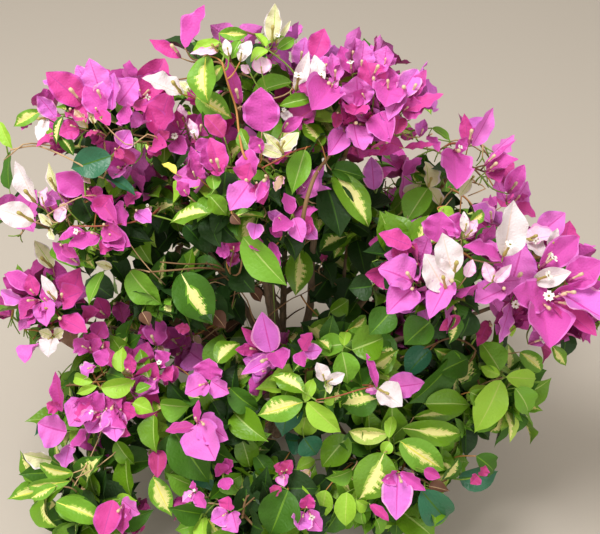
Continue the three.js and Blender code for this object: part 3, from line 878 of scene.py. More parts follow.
# Leaves and bracts that stand out, by kind: the places of each one's root and tip in the photo, and its
# width there.
LEAVES_SEEN = {
    "lime": [
        (220, 42, 188, 48, 12), (0, 122, 8, 149, 14), (122, 372, 119, 346, 15),
        (101, 388, 136, 385, 21), (93, 382, 68, 376, 13), (97, 386, 75, 394, 10),
        (133, 403, 152, 411, 16), (305, 402, 313, 375, 14), (307, 402, 340, 434, 22),
        (324, 402, 336, 398, 10), (344, 346, 346, 328, 13), (389, 438, 392, 412, 13),
        (390, 442, 382, 454, 12), (315, 460, 296, 469, 13), (326, 490, 321, 520, 19),
        (347, 492, 344, 527, 20), (356, 500, 372, 512, 14), (506, 377, 545, 380, 22),
        (500, 375, 480, 368, 13), (501, 380, 480, 435, 34), (438, 210, 456, 218, 12),
        (268, 50, 250, 60, 13), (266, 47, 256, 27, 11), (508, 324, 513, 336, 10),
    ],
    "variegated_fresh": [
        (206, 56, 200, 101, 30), (41, 111, 10, 126, 15), (153, 477, 171, 516, 23),
        (73, 473, 31, 469, 17), (70, 481, 20, 489, 15), (56, 486, 27, 499, 13), (56, 502, 105, 520, 21),
        (303, 402, 253, 418, 28), (520, 352, 547, 373, 17), (400, 441, 448, 476, 28),
        (460, 358, 434, 352, 14), (219, 33, 250, 35, 14), (264, 217, 229, 210, 15),
        (470, 222, 488, 210, 12), (222, 66, 206, 84, 12), (348, 330, 372, 318, 18),
        (330, 350, 320, 336, 12), (196, 97, 231, 117, 24),
    ],
    "variegated_deep": [
        (63, 116, 49, 142, 15), (181, 273, 208, 324, 42), (378, 398, 340, 408, 32),
        (347, 236, 317, 245, 24), (206, 108, 214, 134, 16), (60, 136, 74, 153, 12),
        (456, 316, 460, 344, 22),
    ],
    "bluish": [
        (111, 156, 70, 170, 28), (102, 175, 140, 189, 17), (301, 440, 284, 444, 26),
        (304, 438, 316, 456, 24), (421, 490, 452, 528, 36), (430, 350, 404, 372, 26),
    ],
    "lemon": [
        (176, 174, 162, 158, 11),
    ],
    "variegated": [
        (208, 213, 165, 210, 28), (217, 363, 236, 336, 22), (304, 392, 272, 368, 23),
        (384, 453, 362, 504, 38), (552, 346, 570, 366, 14), (402, 428, 471, 438, 27),
        (414, 417, 474, 411, 15), (322, 146, 305, 117, 22), (333, 172, 376, 226, 26),
        (300, 250, 297, 293, 25), (350, 196, 350, 214, 8),
    ],
    # Dark green leaves, many set deep in the crown where it lies in shadow: their colour is partly their
    # own and partly painted shade.
    "dark": [
        (176, 229, 150, 256, 28), (185, 225, 210, 250, 24), (290, 500, 300, 532, 30),
        (246, 486, 248, 520, 28), (470, 427, 498, 436, 18), (440, 192, 454, 214, 17),
        (326, 184, 344, 232, 34), (350, 222, 372, 232, 22), (360, 300, 372, 330, 30),
        (352, 280, 340, 304, 28), (372, 286, 350, 290, 24), (330, 276, 312, 300, 26),
        (452, 392, 430, 372, 22), (118, 262, 136, 240, 24), (150, 300, 168, 282, 26),
        (226, 290, 212, 268, 20), (250, 232, 264, 214, 18), (320, 204, 306, 184, 22),
        (230, 400, 246, 420, 26), (212, 402, 224, 420, 22), (270, 420, 286, 402, 24),
        (360, 440, 372, 462, 24), (140, 424, 132, 440, 16), (256, 452, 246, 476, 28),
        (214, 290, 226, 306, 26), (240, 262, 226, 280, 26), (232, 292, 246, 272, 22),
        (206, 298, 226, 320, 26), (238, 284, 222, 302, 24), (246, 310, 232, 334, 24),
        (214, 326, 236, 338, 20), (330, 296, 348, 318, 26), (322, 262, 340, 280, 22),
        (372, 262, 388, 282, 24), (166, 214, 158, 232, 22), (186, 240, 170, 246, 20),
        (256, 236, 270, 258, 26), (286, 236, 300, 256, 26), (310, 240, 322, 262, 24),
        (262, 262, 280, 284, 24), (310, 286, 330, 300, 22), (236, 270, 252, 292, 24),
        (212, 300, 232, 318, 24), (222, 262, 238, 284, 24), (206, 230, 220, 252, 26),
        (318, 316, 336, 328, 22), (234, 318, 216, 334, 22), (208, 250, 224, 270, 24),
        (276, 440, 262, 462, 24), (300, 430, 322, 446, 24), (328, 476, 312, 494, 22),
        (344, 460, 330, 484, 24), (290, 452, 276, 476, 24), (440, 318, 428, 340, 26),
        (470, 312, 466, 338, 24), (496, 336, 512, 350, 22), (268, 222, 284, 242, 20),
        (222, 226, 236, 242, 20), (232, 262, 250, 280, 22), (112, 226, 128, 240, 18),
    ],
    "fresh": [
        (130, 271, 154, 308, 31), (104, 271, 86, 303, 17), (136, 392, 150, 384, 12),
        (160, 404, 188, 408, 25), (346, 344, 313, 347, 24), (342, 352, 351, 385, 28),
        (352, 470, 328, 482, 18), (500, 371, 482, 340, 24), (515, 388, 538, 415, 28),
        (428, 188, 406, 220, 26), (292, 82, 245, 90, 20), (305, 150, 292, 191, 25),
        (243, 237, 283, 285, 31), (214, 190, 212, 170, 16), (240, 40, 231, 57, 9),
        (278, 49, 295, 38, 11), (361, 511, 361, 527, 13), (376, 519, 386, 536, 17),
        (268, 44, 284, 34, 11),
    ],
    "green": [
        (149, 378, 137, 348, 15), (154, 415, 152, 452, 23), (116, 441, 131, 468, 19),
        (126, 457, 126, 497, 27), (352, 350, 386, 338, 32), (348, 436, 321, 466, 27),
        (425, 404, 472, 402, 24), (432, 128, 452, 139, 11), (312, 98, 279, 104, 13),
        (210, 196, 226, 214, 20), (250, 150, 238, 128, 14), (330, 312, 350, 300, 18),
        (412, 340, 440, 334, 22), (470, 392, 490, 402, 20),
    ],
    "deep": [
        (173, 430, 209, 483, 42), (288, 490, 270, 536, 38), (455, 358, 416, 408, 26),
        (476, 456, 503, 474, 24), (330, 168, 366, 176, 22), (392, 310, 372, 334, 26),
        (440, 372, 470, 356, 26), (352, 300, 336, 322, 28), (338, 512, 326, 534, 22),
        (430, 322, 406, 342, 30), (230, 388, 256, 416, 26),
    ],
    "cream": [
        (388, 434, 345, 437, 19),
    ],
    # Withered leaves, dark brown; most lie in the shaded middle of the crown, where their dark colour is
    # partly painted shade.
    "withered": [
        (142, 312, 150, 324, 12), (232, 214, 240, 224, 10), (212, 312, 226, 326, 16),
        (226, 332, 240, 318, 15), (205, 328, 218, 340, 13), (250, 288, 262, 300, 13),
    ],
}

BRACTS_SEEN = {
    "magenta": [
        (185, 48, 206, 10, 27), (83, 104, 53, 76, 30), (122, 108, 132, 124, 24),
        (158, 132, 171, 95, 33), (160, 134, 150, 108, 22), (79, 128, 60, 134, 20),
        (84, 192, 60, 174, 26), (90, 190, 100, 205, 20), (100, 236, 72, 246, 24),
        (105, 238, 130, 246, 22), (34, 290, 8, 272, 20), (36, 296, 32, 274, 18), (70, 301, 84, 268, 30),
        (62, 300, 88, 290, 26), (60, 318, 90, 330, 24), (100, 338, 84, 350, 24),
        (104, 342, 116, 366, 24), (74, 438, 92, 446, 26), (90, 404, 84, 392, 26),
        (114, 404, 130, 424, 24), (60, 408, 48, 402, 16), (210, 380, 212, 358, 30),
        (180, 347, 170, 326, 26), (182, 352, 188, 374, 22), (162, 374, 174, 380, 20),
        (170, 340, 150, 334, 22), (259, 350, 236, 348, 13), (274, 352, 284, 368, 24),
        (300, 352, 303, 366, 14), (377, 388, 366, 352, 11), (400, 472, 428, 487, 18),
        (397, 473, 382, 479, 15), (223, 478, 228, 492, 18), (228, 510, 230, 496, 18),
        (306, 508, 308, 492, 16), (454, 150, 452, 190, 33), (486, 172, 516, 163, 26),
        (484, 166, 513, 142, 7), (404, 148, 436, 150, 14), (262, 132, 264, 92, 36),
        (314, 58, 325, 32, 22), (332, 84, 312, 118, 38), (392, 84, 382, 108, 34),
        (404, 176, 420, 158, 20), (372, 116, 390, 138, 34), (252, 178, 246, 150, 28),
        (256, 184, 264, 202, 22), (292, 214, 284, 194, 17), (290, 220, 274, 234, 20),
        (270, 242, 284, 270, 14), (436, 242, 441, 213, 36), (540, 268, 577, 235, 32),
        (541, 302, 545, 350, 46), (502, 262, 464, 244, 28), (214, 170, 206, 146, 24),
        (210, 172, 226, 160, 22), (396, 262, 404, 246, 20), (196, 492, 193, 480, 10),
        (197, 492, 206, 507, 14), (113, 500, 106, 533, 30), (90, 350, 76, 338, 20),
        (100, 366, 108, 348, 20), (156, 346, 160, 316, 30), (186, 354, 172, 338, 24),
        (184, 350, 196, 334, 22), (104, 410, 84, 398, 30), (112, 416, 130, 434, 28),
        (120, 408, 138, 414, 18), (96, 84, 112, 72, 20), (130, 100, 146, 112, 22),
        (196, 150, 210, 140, 16), (176, 140, 186, 156, 20), (126, 206, 140, 192, 20),
        (112, 236, 124, 252, 20), (104, 114, 88, 88, 24), (322, 74, 340, 58, 24),
        (366, 100, 350, 92, 22), (461, 232, 441, 222, 26), (566, 282, 598, 264, 32),
        (548, 302, 508, 290, 34), (548, 300, 598, 284, 26), (388, 94, 380, 67, 26),
        (352, 74, 340, 48, 26), (456, 154, 466, 137, 14), (501, 207, 508, 185, 24),
        (428, 136, 437, 153, 13), (32, 120, 23, 131, 11), (221, 174, 212, 139, 25),
        (198, 177, 192, 148, 17), (96, 214, 114, 196, 25), (86, 232, 62, 243, 16),
        (76, 262, 54, 243, 18), (41, 300, 19, 316, 25), (45, 306, 30, 327, 20), (50, 304, 44, 287, 11),
        (262, 153, 252, 135, 18), (282, 132, 303, 118, 15), (268, 178, 258, 203, 12),
        (300, 228, 312, 218, 20), (230, 250, 216, 252, 16), (132, 374, 131, 350, 14),
        (118, 202, 128, 226, 24), (108, 318, 98, 298, 20), (508, 194, 520, 166, 18),
        (246, 182, 252, 164, 24), (160, 366, 172, 352, 20), (100, 250, 118, 244, 16),
    ],
    "rose": [
        (181, 58, 151, 42, 16), (468, 146, 464, 114, 15), (360, 104, 350, 125, 32),
        (374, 92, 367, 61, 30), (370, 505, 388, 519, 10),
    ],
    "blush": [
        (218, 52, 192, 57, 10), (44, 205, 50, 188, 12), (262, 74, 260, 57, 19), (310, 78, 326, 58, 24),
        (466, 277, 472, 260, 12), (523, 241, 552, 236, 22), (186, 128, 182, 106, 14),
        (196, 140, 190, 120, 12), (58, 222, 66, 206, 12), (466, 237, 479, 221, 15),
        (492, 282, 484, 262, 13), (494, 282, 508, 264, 12), (55, 310, 30, 312, 15),
        (250, 73, 241, 66, 10),
    ],
    # Light magenta bracts: partly their own paler tone, partly painted light where they lie in the light.
    "light": [
        (56, 118, 42, 96, 20), (104, 104, 94, 62, 30), (118, 104, 140, 82, 30), (22, 300, 0, 293, 20),
        (44, 302, 50, 326, 22), (36, 344, 31, 364, 24), (67, 432, 40, 424, 32), (70, 444, 66, 467, 27),
        (90, 404, 71, 424, 32), (112, 408, 117, 440, 26), (197, 424, 216, 458, 40),
        (200, 420, 230, 436, 30), (211, 381, 230, 392, 25), (208, 383, 186, 392, 26),
        (184, 350, 205, 356, 24), (160, 376, 150, 392, 20), (271, 352, 262, 311, 28),
        (272, 357, 243, 374, 14), (304, 352, 322, 350, 16), (386, 388, 427, 382, 29),
        (398, 473, 394, 517, 30), (228, 512, 212, 520, 24), (232, 512, 240, 530, 24),
        (304, 512, 294, 530, 26), (308, 510, 320, 528, 24), (472, 146, 490, 111, 18),
        (506, 202, 494, 180, 24), (492, 224, 470, 206, 27), (420, 137, 424, 120, 15),
        (296, 38, 301, 26, 17), (358, 108, 357, 79, 38), (354, 124, 357, 161, 31),
        (344, 132, 328, 158, 22), (384, 68, 386, 48, 23), (352, 64, 352, 41, 30),
        (398, 98, 417, 69, 27), (374, 190, 371, 159, 20), (250, 182, 232, 210, 34),
        (294, 218, 302, 240, 22), (306, 226, 316, 238, 18), (413, 282, 380, 266, 36),
        (414, 288, 386, 310, 32), (449, 280, 430, 319, 26), (511, 285, 521, 245, 36),
        (560, 292, 600, 322, 44), (503, 290, 473, 302, 30), (511, 303, 496, 341, 20),
        (122, 500, 140, 512, 24), (96, 366, 82, 376, 24), (190, 352, 206, 364, 30),
        (104, 414, 92, 434, 30), (60, 90, 44, 80, 14), (150, 120, 134, 132, 22),
        (120, 146, 132, 132, 20), (136, 212, 152, 222, 20), (112, 110, 118, 76, 30),
        (300, 66, 306, 40, 22), (372, 78, 396, 60, 26), (538, 234, 562, 215, 26),
        (528, 344, 562, 330, 24), (404, 91, 388, 119, 22), (360, 72, 364, 44, 22),
        (335, 81, 332, 55, 18), (512, 205, 525, 183, 20), (402, 200, 402, 169, 16),
        (88, 84, 78, 67, 17), (42, 196, 58, 204, 15), (80, 265, 66, 250, 15), (282, 222, 268, 212, 14),
        (256, 224, 253, 240, 17), (228, 258, 240, 262, 14),
    ],
    "white": [
        (182, 94, 145, 84, 24), (46, 118, 41, 142, 13), (36, 203, 22, 164, 22), (34, 222, 0, 208, 25),
        (56, 300, 45, 275, 11), (53, 338, 49, 353, 25), (325, 381, 317, 362, 15),
        (327, 382, 344, 373, 14), (378, 389, 402, 404, 26), (503, 257, 509, 203, 33),
        (240, 62, 250, 41, 16), (296, 92, 308, 55, 14), (446, 290, 421, 256, 30),
        (453, 275, 440, 234, 33), (549, 248, 555, 229, 14), (527, 239, 542, 257, 16),
        (533, 281, 567, 273, 19), (465, 232, 462, 212, 9), (229, 56, 226, 40, 9),
        (282, 112, 293, 124, 10), (322, 84, 314, 57, 17),
    ],
    # Deep magenta bracts: partly their own darker tone, partly painted shade where they lie in shadow.
    "deep": [
        (173, 80, 143, 79, 14), (98, 196, 118, 222, 22), (112, 215, 92, 204, 20),
        (38, 300, 22, 318, 22), (84, 324, 100, 310, 22), (96, 336, 106, 322, 20),
        (62, 412, 60, 370, 16), (196, 427, 166, 429, 15), (198, 424, 198, 399, 10),
        (266, 346, 242, 326, 14), (302, 350, 313, 333, 16), (424, 470, 440, 476, 12),
        (224, 472, 238, 462, 18), (222, 474, 216, 462, 16), (487, 172, 498, 186, 22),
        (508, 206, 536, 213, 23), (240, 105, 228, 63, 13), (404, 110, 441, 98, 18),
        (282, 236, 270, 228, 14), (412, 246, 379, 234, 24), (553, 302, 590, 334, 22),
        (196, 180, 190, 160, 20), (188, 196, 178, 182, 16), (180, 130, 176, 112, 18),
        (192, 130, 204, 118, 20), (124, 504, 124, 532, 22), (92, 352, 100, 338, 18),
        (150, 340, 145, 322, 16), (106, 412, 122, 398, 24), (100, 412, 76, 420, 26),
        (70, 112, 88, 124, 26), (160, 150, 148, 160, 18), (152, 146, 170, 148, 20),
        (318, 96, 300, 84, 26), (402, 112, 424, 110, 24), (409, 98, 425, 73, 15),
        (513, 198, 527, 197, 11), (98, 112, 110, 127, 15), (200, 136, 216, 111, 26),
        (300, 226, 308, 236, 16), (234, 252, 236, 238, 16), (104, 226, 124, 238, 22),
        (118, 302, 126, 322, 20), (252, 240, 262, 252, 14), (176, 366, 166, 384, 18),
        (62, 246, 78, 256, 14),
    ],
    "cream": [
        (58, 192, 52, 164, 12), (112, 268, 97, 263, 9), (53, 268, 38, 241, 16), (52, 336, 40, 330, 12),
        (54, 336, 65, 330, 12), (52, 460, 27, 452, 18), (326, 382, 330, 393, 10),
        (428, 188, 427, 162, 21), (405, 205, 420, 183, 17), (440, 206, 428, 187, 15),
        (272, 44, 278, 6, 20), (282, 156, 254, 146, 14), (284, 154, 262, 133, 12),
        (88, 128, 80, 108, 16), (94, 124, 93, 106, 12), (190, 92, 180, 82, 10), (52, 226, 40, 214, 10),
        (50, 230, 56, 240, 9), (538, 266, 550, 252, 5), (471, 180, 458, 197, 10), (276, 44, 291, 23, 7),
        (280, 151, 299, 134, 15),
    ],
    "pink": [
        (377, 390, 363, 393, 11), (284, 474, 286, 486, 14), (330, 92, 340, 78, 14),
        (194, 492, 183, 501, 12),
    ],
    "crimson": [
        (285, 472, 292, 460, 14), (284, 472, 274, 464, 14), (280, 486, 272, 496, 14),
        (480, 476, 484, 464, 14), (478, 476, 470, 484, 12), (228, 252, 220, 242, 16),
        (230, 254, 238, 266, 16), (322, 262, 328, 256, 10), (489, 321, 475, 345, 14),
        (460, 316, 440, 330, 14), (158, 450, 160, 476, 18), (190, 330, 176, 326, 12),
        (400, 117, 394, 135, 18), (338, 113, 334, 129, 12), (100, 132, 86, 138, 10),
        (116, 150, 126, 163, 12), (154, 142, 175, 134, 17), (224, 137, 206, 116, 24),
        (135, 163, 118, 152, 14),
    ],
    "withered": [
        (282, 176, 276, 192, 12), (150, 206, 146, 216, 10), (183, 244, 178, 258, 11),
        (160, 346, 164, 357, 9), (194, 336, 202, 343, 8), (150, 450, 157, 459, 9),
        (474, 220, 470, 232, 10), (84, 172, 92, 184, 10), (186, 128, 196, 138, 9),
        (68, 210, 60, 204, 9), (310, 470, 298, 482, 13),
    ],
    "orchid": [
        (268, 178, 257, 202, 12),
    ],
}

# Shoots that stand out: bark, radius, and places in the photo, from the free end inward.
TWIGS_SEEN = [
    ("shoot_tan", 1.1, (10, 150), (30, 146), (50, 150), (76, 162), (104, 178)),
    ("shoot_tan", 0.8, (4, 160), (14, 152), (24, 144)),
    ("shoot_red", 1.0, (72, 226), (100, 226), (128, 223), (148, 217), (160, 208)),
    ("shoot_tan", 0.8, (100, 118), (112, 132), (130, 146), (148, 134), (160, 140)),
    ("shoot_orange", 1.3, (222, 62), (228, 84), (236, 108), (239, 132), (245, 158)),
    ("shoot_tan", 0.9, (238, 108), (256, 102), (276, 98), (290, 92), (300, 78)),
    ("twig_brown", 2.3, (336, 146), (326, 160), (314, 178), (306, 202), (300, 226)),
    ("shoot_red", 0.9, (262, 168), (278, 160), (292, 152), (312, 146)),
    ("shoot_tan", 0.7, (130, 244), (140, 258), (152, 272)),
    ("twig_brown", 1.2, (150, 272), (176, 270), (206, 268), (232, 274)),
    ("twig_brown", 1.0, (160, 262), (184, 264), (212, 264), (240, 272)),
    ("shoot_tan", 0.8, (76, 478), (92, 470), (106, 460), (118, 448)),
    ("shoot_tan", 0.7, (74, 486), (88, 462), (98, 440), (106, 420)),
    ("shoot_red", 0.9, (316, 400), (338, 396), (358, 390), (374, 386)),
    ("shoot_tan", 0.7, (440, 206), (446, 196), (452, 190)),
    ("shoot_tan", 0.7, (452, 198), (440, 212), (430, 222)),
    ("shoot_tan", 0.8, (468, 196), (478, 192), (486, 188)),
    ("twig_brown", 1.3, (400, 358), (430, 346), (452, 338), (476, 350)),
    ("twig_brown", 0.9, (300, 262), (330, 280), (350, 300), (380, 320)),
    ("shoot_tan", 0.8, (36, 222), (46, 216), (62, 206), (84, 196), (98, 196)),
    ("twig_brown", 0.9, (206, 262), (226, 278), (246, 298), (256, 324)),
    ("twig_brown", 0.7, (204, 302), (226, 298), (248, 288), (266, 272)),
    ("twig_brown", 0.8, (222, 330), (232, 306), (236, 284), (230, 266)),
    ("twig_brown", 0.7, (322, 282), (306, 292), (284, 304), (262, 326)),
    ("shoot_tan", 0.6, (206, 288), (212, 282), (222, 284), (228, 288)),
    ("shoot_tan", 0.6, (286, 260), (294, 252), (302, 246)),
]

SHOOT_LIFT = 6  # how far in front of a mass its shoots run
KIND_DEPTHS = {"dark": 24, "white": -5, "variegated": -5}  # how far behind its mass's skin each is
LIMB_NEAR = 12  # pixels: a blade that stands out is in front of the limbs that pass this near
LIMB_LIFT = 8  # by this much
LIMB_STEPS = 40
LIMB_PLACES, LIMB_DEPTHS = in_photo(np.concatenate([line.spaced(LIMB_STEPS) for line in LIMBS.values()]))
MOST_SLANT = 1.35  # how much longer a blade may be than it looks
TIP_CLEARANCE = 8
FRONT = unit(np.array((0.0, -0.81, 0.59)))  # they turn half way towards the light in front of the bush

Seen = namedtuple("Seen", "is_bract kind root tip width face")


def read_blade(is_bract, kind, x, y, tip_x, tip_y, width):
    """A blade from its place in the photo.

    It starts on the skin of the first mass there, or in front of a limb, and slants half as leaves do.
    """
    depth = first_mass(x, y) + KIND_DEPTHS.get(kind, 0)
    over = np.linalg.norm(LIMB_PLACES - (x, y), axis=1) < LIMB_NEAR
    if kind != "dark" and over.any():
        depth = min(depth, LIMB_DEPTHS[over].min() - LIMB_LIFT)
    root = CAMERA_PLACE + sight(x, y) * depth
    to_camera = unit(CAMERA_PLACE - root)
    slanting = unit(facing(root) * FACE_UP + to_camera)
    way = sight(tip_x, tip_y)
    tip = CAMERA_PLACE + way * ((root - CAMERA_PLACE) @ slanting) / (way @ slanting)
    upright = CAMERA_PLACE + way * ((root - CAMERA_PLACE) @ to_camera) / (way @ to_camera)
    if np.linalg.norm(tip - root) > MOST_SLANT * np.linalg.norm(upright - root):
        tip = upright + (tip - upright) * (MOST_SLANT - 1)
    if tip[2] < TIP_CLEARANCE:
        tip = CAMERA_PLACE + way * (TIP_CLEARANCE - CAMERA_PLACE[2]) / way[2]
    return Seen(is_bract, kind, root, tip, width * depth / FOCAL, unit(facing(root) * FACE_UP + FRONT))


SEEN = [
    read_blade(table is BRACTS_SEEN, kind, *row)
    for table in (LEAVES_SEEN, BRACTS_SEEN)
    for kind, rows in table.items()
    for row in rows
]
SEEN_MIDDLES = np.array([(seen.root + seen.tip) / 2 for seen in SEEN])
SEEN_PLACES, SEEN_DEPTHS = in_photo(SEEN_MIDDLES)
# Round the middle of each, in pixels, as far as it is kept uncovered. The dark ones may be half covered.
SEEN_REACHES = np.array([max(np.linalg.norm(seen.tip - seen.root), seen.width) for seen in SEEN])
SEEN_REACHES *= np.array([0.25 if seen.kind == "dark" else 0.5 for seen in SEEN]) / MM_PER_PIXEL
SEEN_LIFT = 12  # what is less than this behind one counts as in front
SEEN_MARGIN = 4


def seen_near(at, reach):
    """The standout blade nearest to this point, if one is within reach."""
    distances = np.linalg.norm(SEEN_MIDDLES - at, axis=1)
    nearest = distances.argmin()
    return SEEN[nearest] if distances[nearest] < reach else None


def hides_seen(at):
    """Whether a blade here would cover one that stands out."""
    place, depth = in_photo(at)
    aside = np.linalg.norm(SEEN_PLACES - place, axis=1)
    return bool(((depth < SEEN_DEPTHS + SEEN_LIFT) & (aside < SEEN_REACHES + SEEN_MARGIN)).any())


# The corners that blades which stand out stay between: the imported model's box, but less deep, clear of
# the ground, and a little higher. Other blades may reach past them by the margins.
LOWEST = np.array(cad_box[0]) / MM + (0, 6, 14)
HIGHEST = np.array(cad_box[1]) / MM + (0, -6, 12)
LOW_MARGIN = (5, 8, 11)
HIGH_MARGIN = (3, 9, -9)

REGIONS = ("left", "middle", "right")
LEFT_END, RIGHT_START = -60, 100


def region_of(mass):
    across = mass.middle[0]
    return "left" if across < LEFT_END else "right" if across > RIGHT_START else "middle"


def nearest_region(at):
    """The region of the mass that this point is in or next to."""
    return region_of(min(MASSES, key=lambda mass: np.linalg.norm((at - mass.middle) / np.array(mass.half))))


leaf_heaps = {region: Heap("leaves_" + region) for region in REGIONS}
bract_heaps = {region: Heap("bracts_" + region) for region in REGIONS}
twig_heaps = {region: Heap("twigs_" + region) for region in REGIONS}
flowers = Heap("flowers")
pale_bracts = Heap("pale_bracts")
wood = Heap("trunk_and_limbs")
twig_points = []  # along every twig, for the stalks that start from them


def scatter(dice):
    """A random offset, up to 1 along each axis."""
    return np.array([dice.uniform(-1, 1) for _ in range(3)])


def add_tube(heap, points, radii, sides, tissue_name, shape=None):
    body, corners, sizes = tube(points, radii, sides, shape)
    heap.add(body, corners, sizes, np.zeros(len(sizes), dtype=int), [tissue_name])


def add_twig(region, line, steps, radii, sides, bark):
    """A twig that tapers evenly between these two radii."""
    add_tube(twig_heaps[region], line.spaced(steps), np.linspace(*radii, steps + 1), sides, bark)


def fitted(root, along, length, scale):
    """The scale, or a smaller one with which the blade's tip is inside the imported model's box."""
    reach = along * length * scale
    ahead = (HIGHEST + HIGH_MARGIN - root) / np.where(reach > 0, reach, 1)
    behind = (LOWEST - LOW_MARGIN - root) / np.where(reach < 0, reach, -1)
    share = min(1.0, *ahead[reach > 0], *behind[reach < 0])
    return scale * max(share, 0.0)


LEAF_STALK = 10.0
TUFT_STALK = 6
STALK_RADII = (0.6, 0.5, 0.45)
WITHERED_SCALE = 0.5
LEAF_CLEARANCE = GROUND_CLEARANCE + 12
LIKE_SEEN = 34  # leaves this near to one that stands out are mostly of its kind
LIKE_CHANCE = 0.6
DEEP_INSIDE = 0.5  # leaves nearer to a mass's middle than this share of its size are the old ones, dark green or withered, their darkness partly painted shade


def add_leaf(region, at, along, kind, scale, dice, stalk=LEAF_STALK):
    """A leaf on its stalk. The stalk leaves the twig steeply and the blade levels out to the light."""
    length = LEAF_FORM["length"]
    scale = fitted(at, along, stalk + length, scale * (WITHERED_SCALE if kind == "withered" else 1))
    if scale < SMALLEST:
        return
    root = at + along * stalk * scale
    middle = root + along * (length / 2) * scale
    if in_opening(middle) or hides_seen(middle):
        return
    if middle[2] < LEAF_CLEARANCE:
        return
    face = unit(facing(middle) + 0.25 * scatter(dice))
    bend = at + along * stalk * scale * 0.5 + UP * 0.8
    add_tube(twig_heaps[region], [at, bend, root], STALK_RADII, 4, "shoot_green")
    shape = dice.choice(MARKED_LEAVES if kind in MARKED_KINDS else LEAVES)
    lay(leaf_heaps[region], shape, LEAF_KINDS[kind], root, along, face, scale, dice.uniform(-0.3, 0.3))


def leaf_kind(at, mass, dice, young):
    """Which leaf grows here: marked and fresh ones in the light, and dark ones, partly painted shade,
    inside and behind.
    """
    space = SPACES[mass.name]
    near = seen_near(at, LIKE_SEEN)
    if near and not near.is_bract and dice.random() < LIKE_CHANCE:
        return near.kind
    if young:
        chances = {"lime": 5, "fresh": 3, "variegated_fresh": 2, "cream": 1}
    elif at[1] > BACK:
        chances = {"green": 4, "deep": 3, "dark": 2, "variegated": 2, "bluish": 1}
    elif np.linalg.norm((at - space.middle) / space.half) < DEEP_INSIDE:
        chances = {"dark": 4, "deep": 3, "green": 2, "variegated_deep": 1, "withered": 0.6}
    else:
        chances = {
            "green": 5, "fresh": 4, "deep": 3, "bluish": 1, "variegated": 4,
            "variegated_fresh": 3, "variegated_deep": 1, "cream": 0.6,
        }
    return picked(chances, dice)


def picked(chances, dice):
    """One of these, each as likely as its number says."""
    return dice.choices(list(chances), list(chances.values()))[0]


BASE_SHADES = {"light": 3, "orchid": 2, "magenta": 4, "rose": 3, "deep": 3, "crimson": 0.8}
WITHERED_SHARE = 0.05
CLOSED_SHARE = 0.18  # of the trios are still closed round their buds
CLOSED_SCALE, CLOSED_LEAN = 0.6, 0.42
TRIO_LEANS = (0.62, 1.12)  # from the trio's axis, in radians
TRIO_MIDDLE = 14  # up its axis, where it is tested for openings
OPEN_SHARE = 0.22  # of the flowers are open


def bract_shades(dice):
    """The colours of one flower's three bracts."""
    base = picked(BASE_SHADES, dice)
    if dice.random() < WITHERED_SHARE:
        return ["withered", "withered", base]
    return [base, base, dice.choice((base, "light", "magenta"))]


def add_trio(region, tip, axis, turn, scale, dice):
    """Three papery bracts round their flowers."""
    shades = bract_shades(dice)
    opening = dice.uniform(*TRIO_LEANS)
    if dice.random() < CLOSED_SHARE:
        scale, opening = scale * CLOSED_SCALE, CLOSED_LEAN
        shades = ["deep", "rose", "deep"]
    middle = tip + axis * TRIO_MIDDLE * scale
    if in_opening(middle) or hides_seen(middle):
        return
    flowers_here = picked({0: 3, 1: 2, 2: 3, 3: 3}, dice)
    for i, shade in enumerate(shades):
        across = perpendicular(axis, turn + i * math.tau / 3 + dice.uniform(-0.12, 0.12))
        lean = opening + dice.uniform(-0.15, 0.15)
        along = axis * math.cos(lean) + across * math.sin(lean)
        root = tip + across * 1.2
        size = fitted(root, along, BRACT_FORM["length"], scale * dice.uniform(0.88, 1.1))
        if size < SMALLEST:
            continue
        shape = dice.choice(BRACTS)
        roll = dice.uniform(-0.25, 0.25)
        lay(bract_heaps[region], shape, BRACT_KINDS[shade], root, along, axis, size, roll)
        if i < flowers_here:
            shape = OPEN_FLOWER if dice.random() < OPEN_SHARE else CLOSED_FLOWER
            way = unit(axis + across * dice.uniform(0.25, 0.5))
            size *= dice.uniform(0.9, 1.15)
            lay(flowers, shape, FLOWER_FINISH, tip + across * 1.5, way, across, size)


BLOOM_LIKE_SEEN = 42  # a twig that ends this near to a blade that stands out follows it
LOW_CHANCE = 0.3
# In masses with few bracts and with many: how likely a twig next to a bract that stands out blooms, and
# how likely a twig that was drawn to bloom does so away from those, in the front half
NEAR_CHANCES = (0.65, 0.85)
FRONT_CHANCES = (0.3, 0.75)


def blooms(end, mass, blooming, dice):
    """Whether a twig that ends here blooms: where the photo shows its place, as the blades near it do."""
    rich = mass.bloom > RICH_BLOOM
    near = seen_near(end, BLOOM_LIKE_SEEN)
    if near:
        chance = LOW_CHANCE if end[2] < LOW_BLOOM else NEAR_CHANCES[rich]
        return near.is_bract and dice.random() < chance
    if end[1] < FRONT_HALF:
        return blooming and dice.random() < FRONT_CHANCES[rich]
    return blooming


LEAF_PLACES = (0.3, 0.55, 0.8)  # where a fine twig without bracts carries leaves
BLOOMING_LEAF_PLACES = (0.5,)  # and where every other one with bracts does


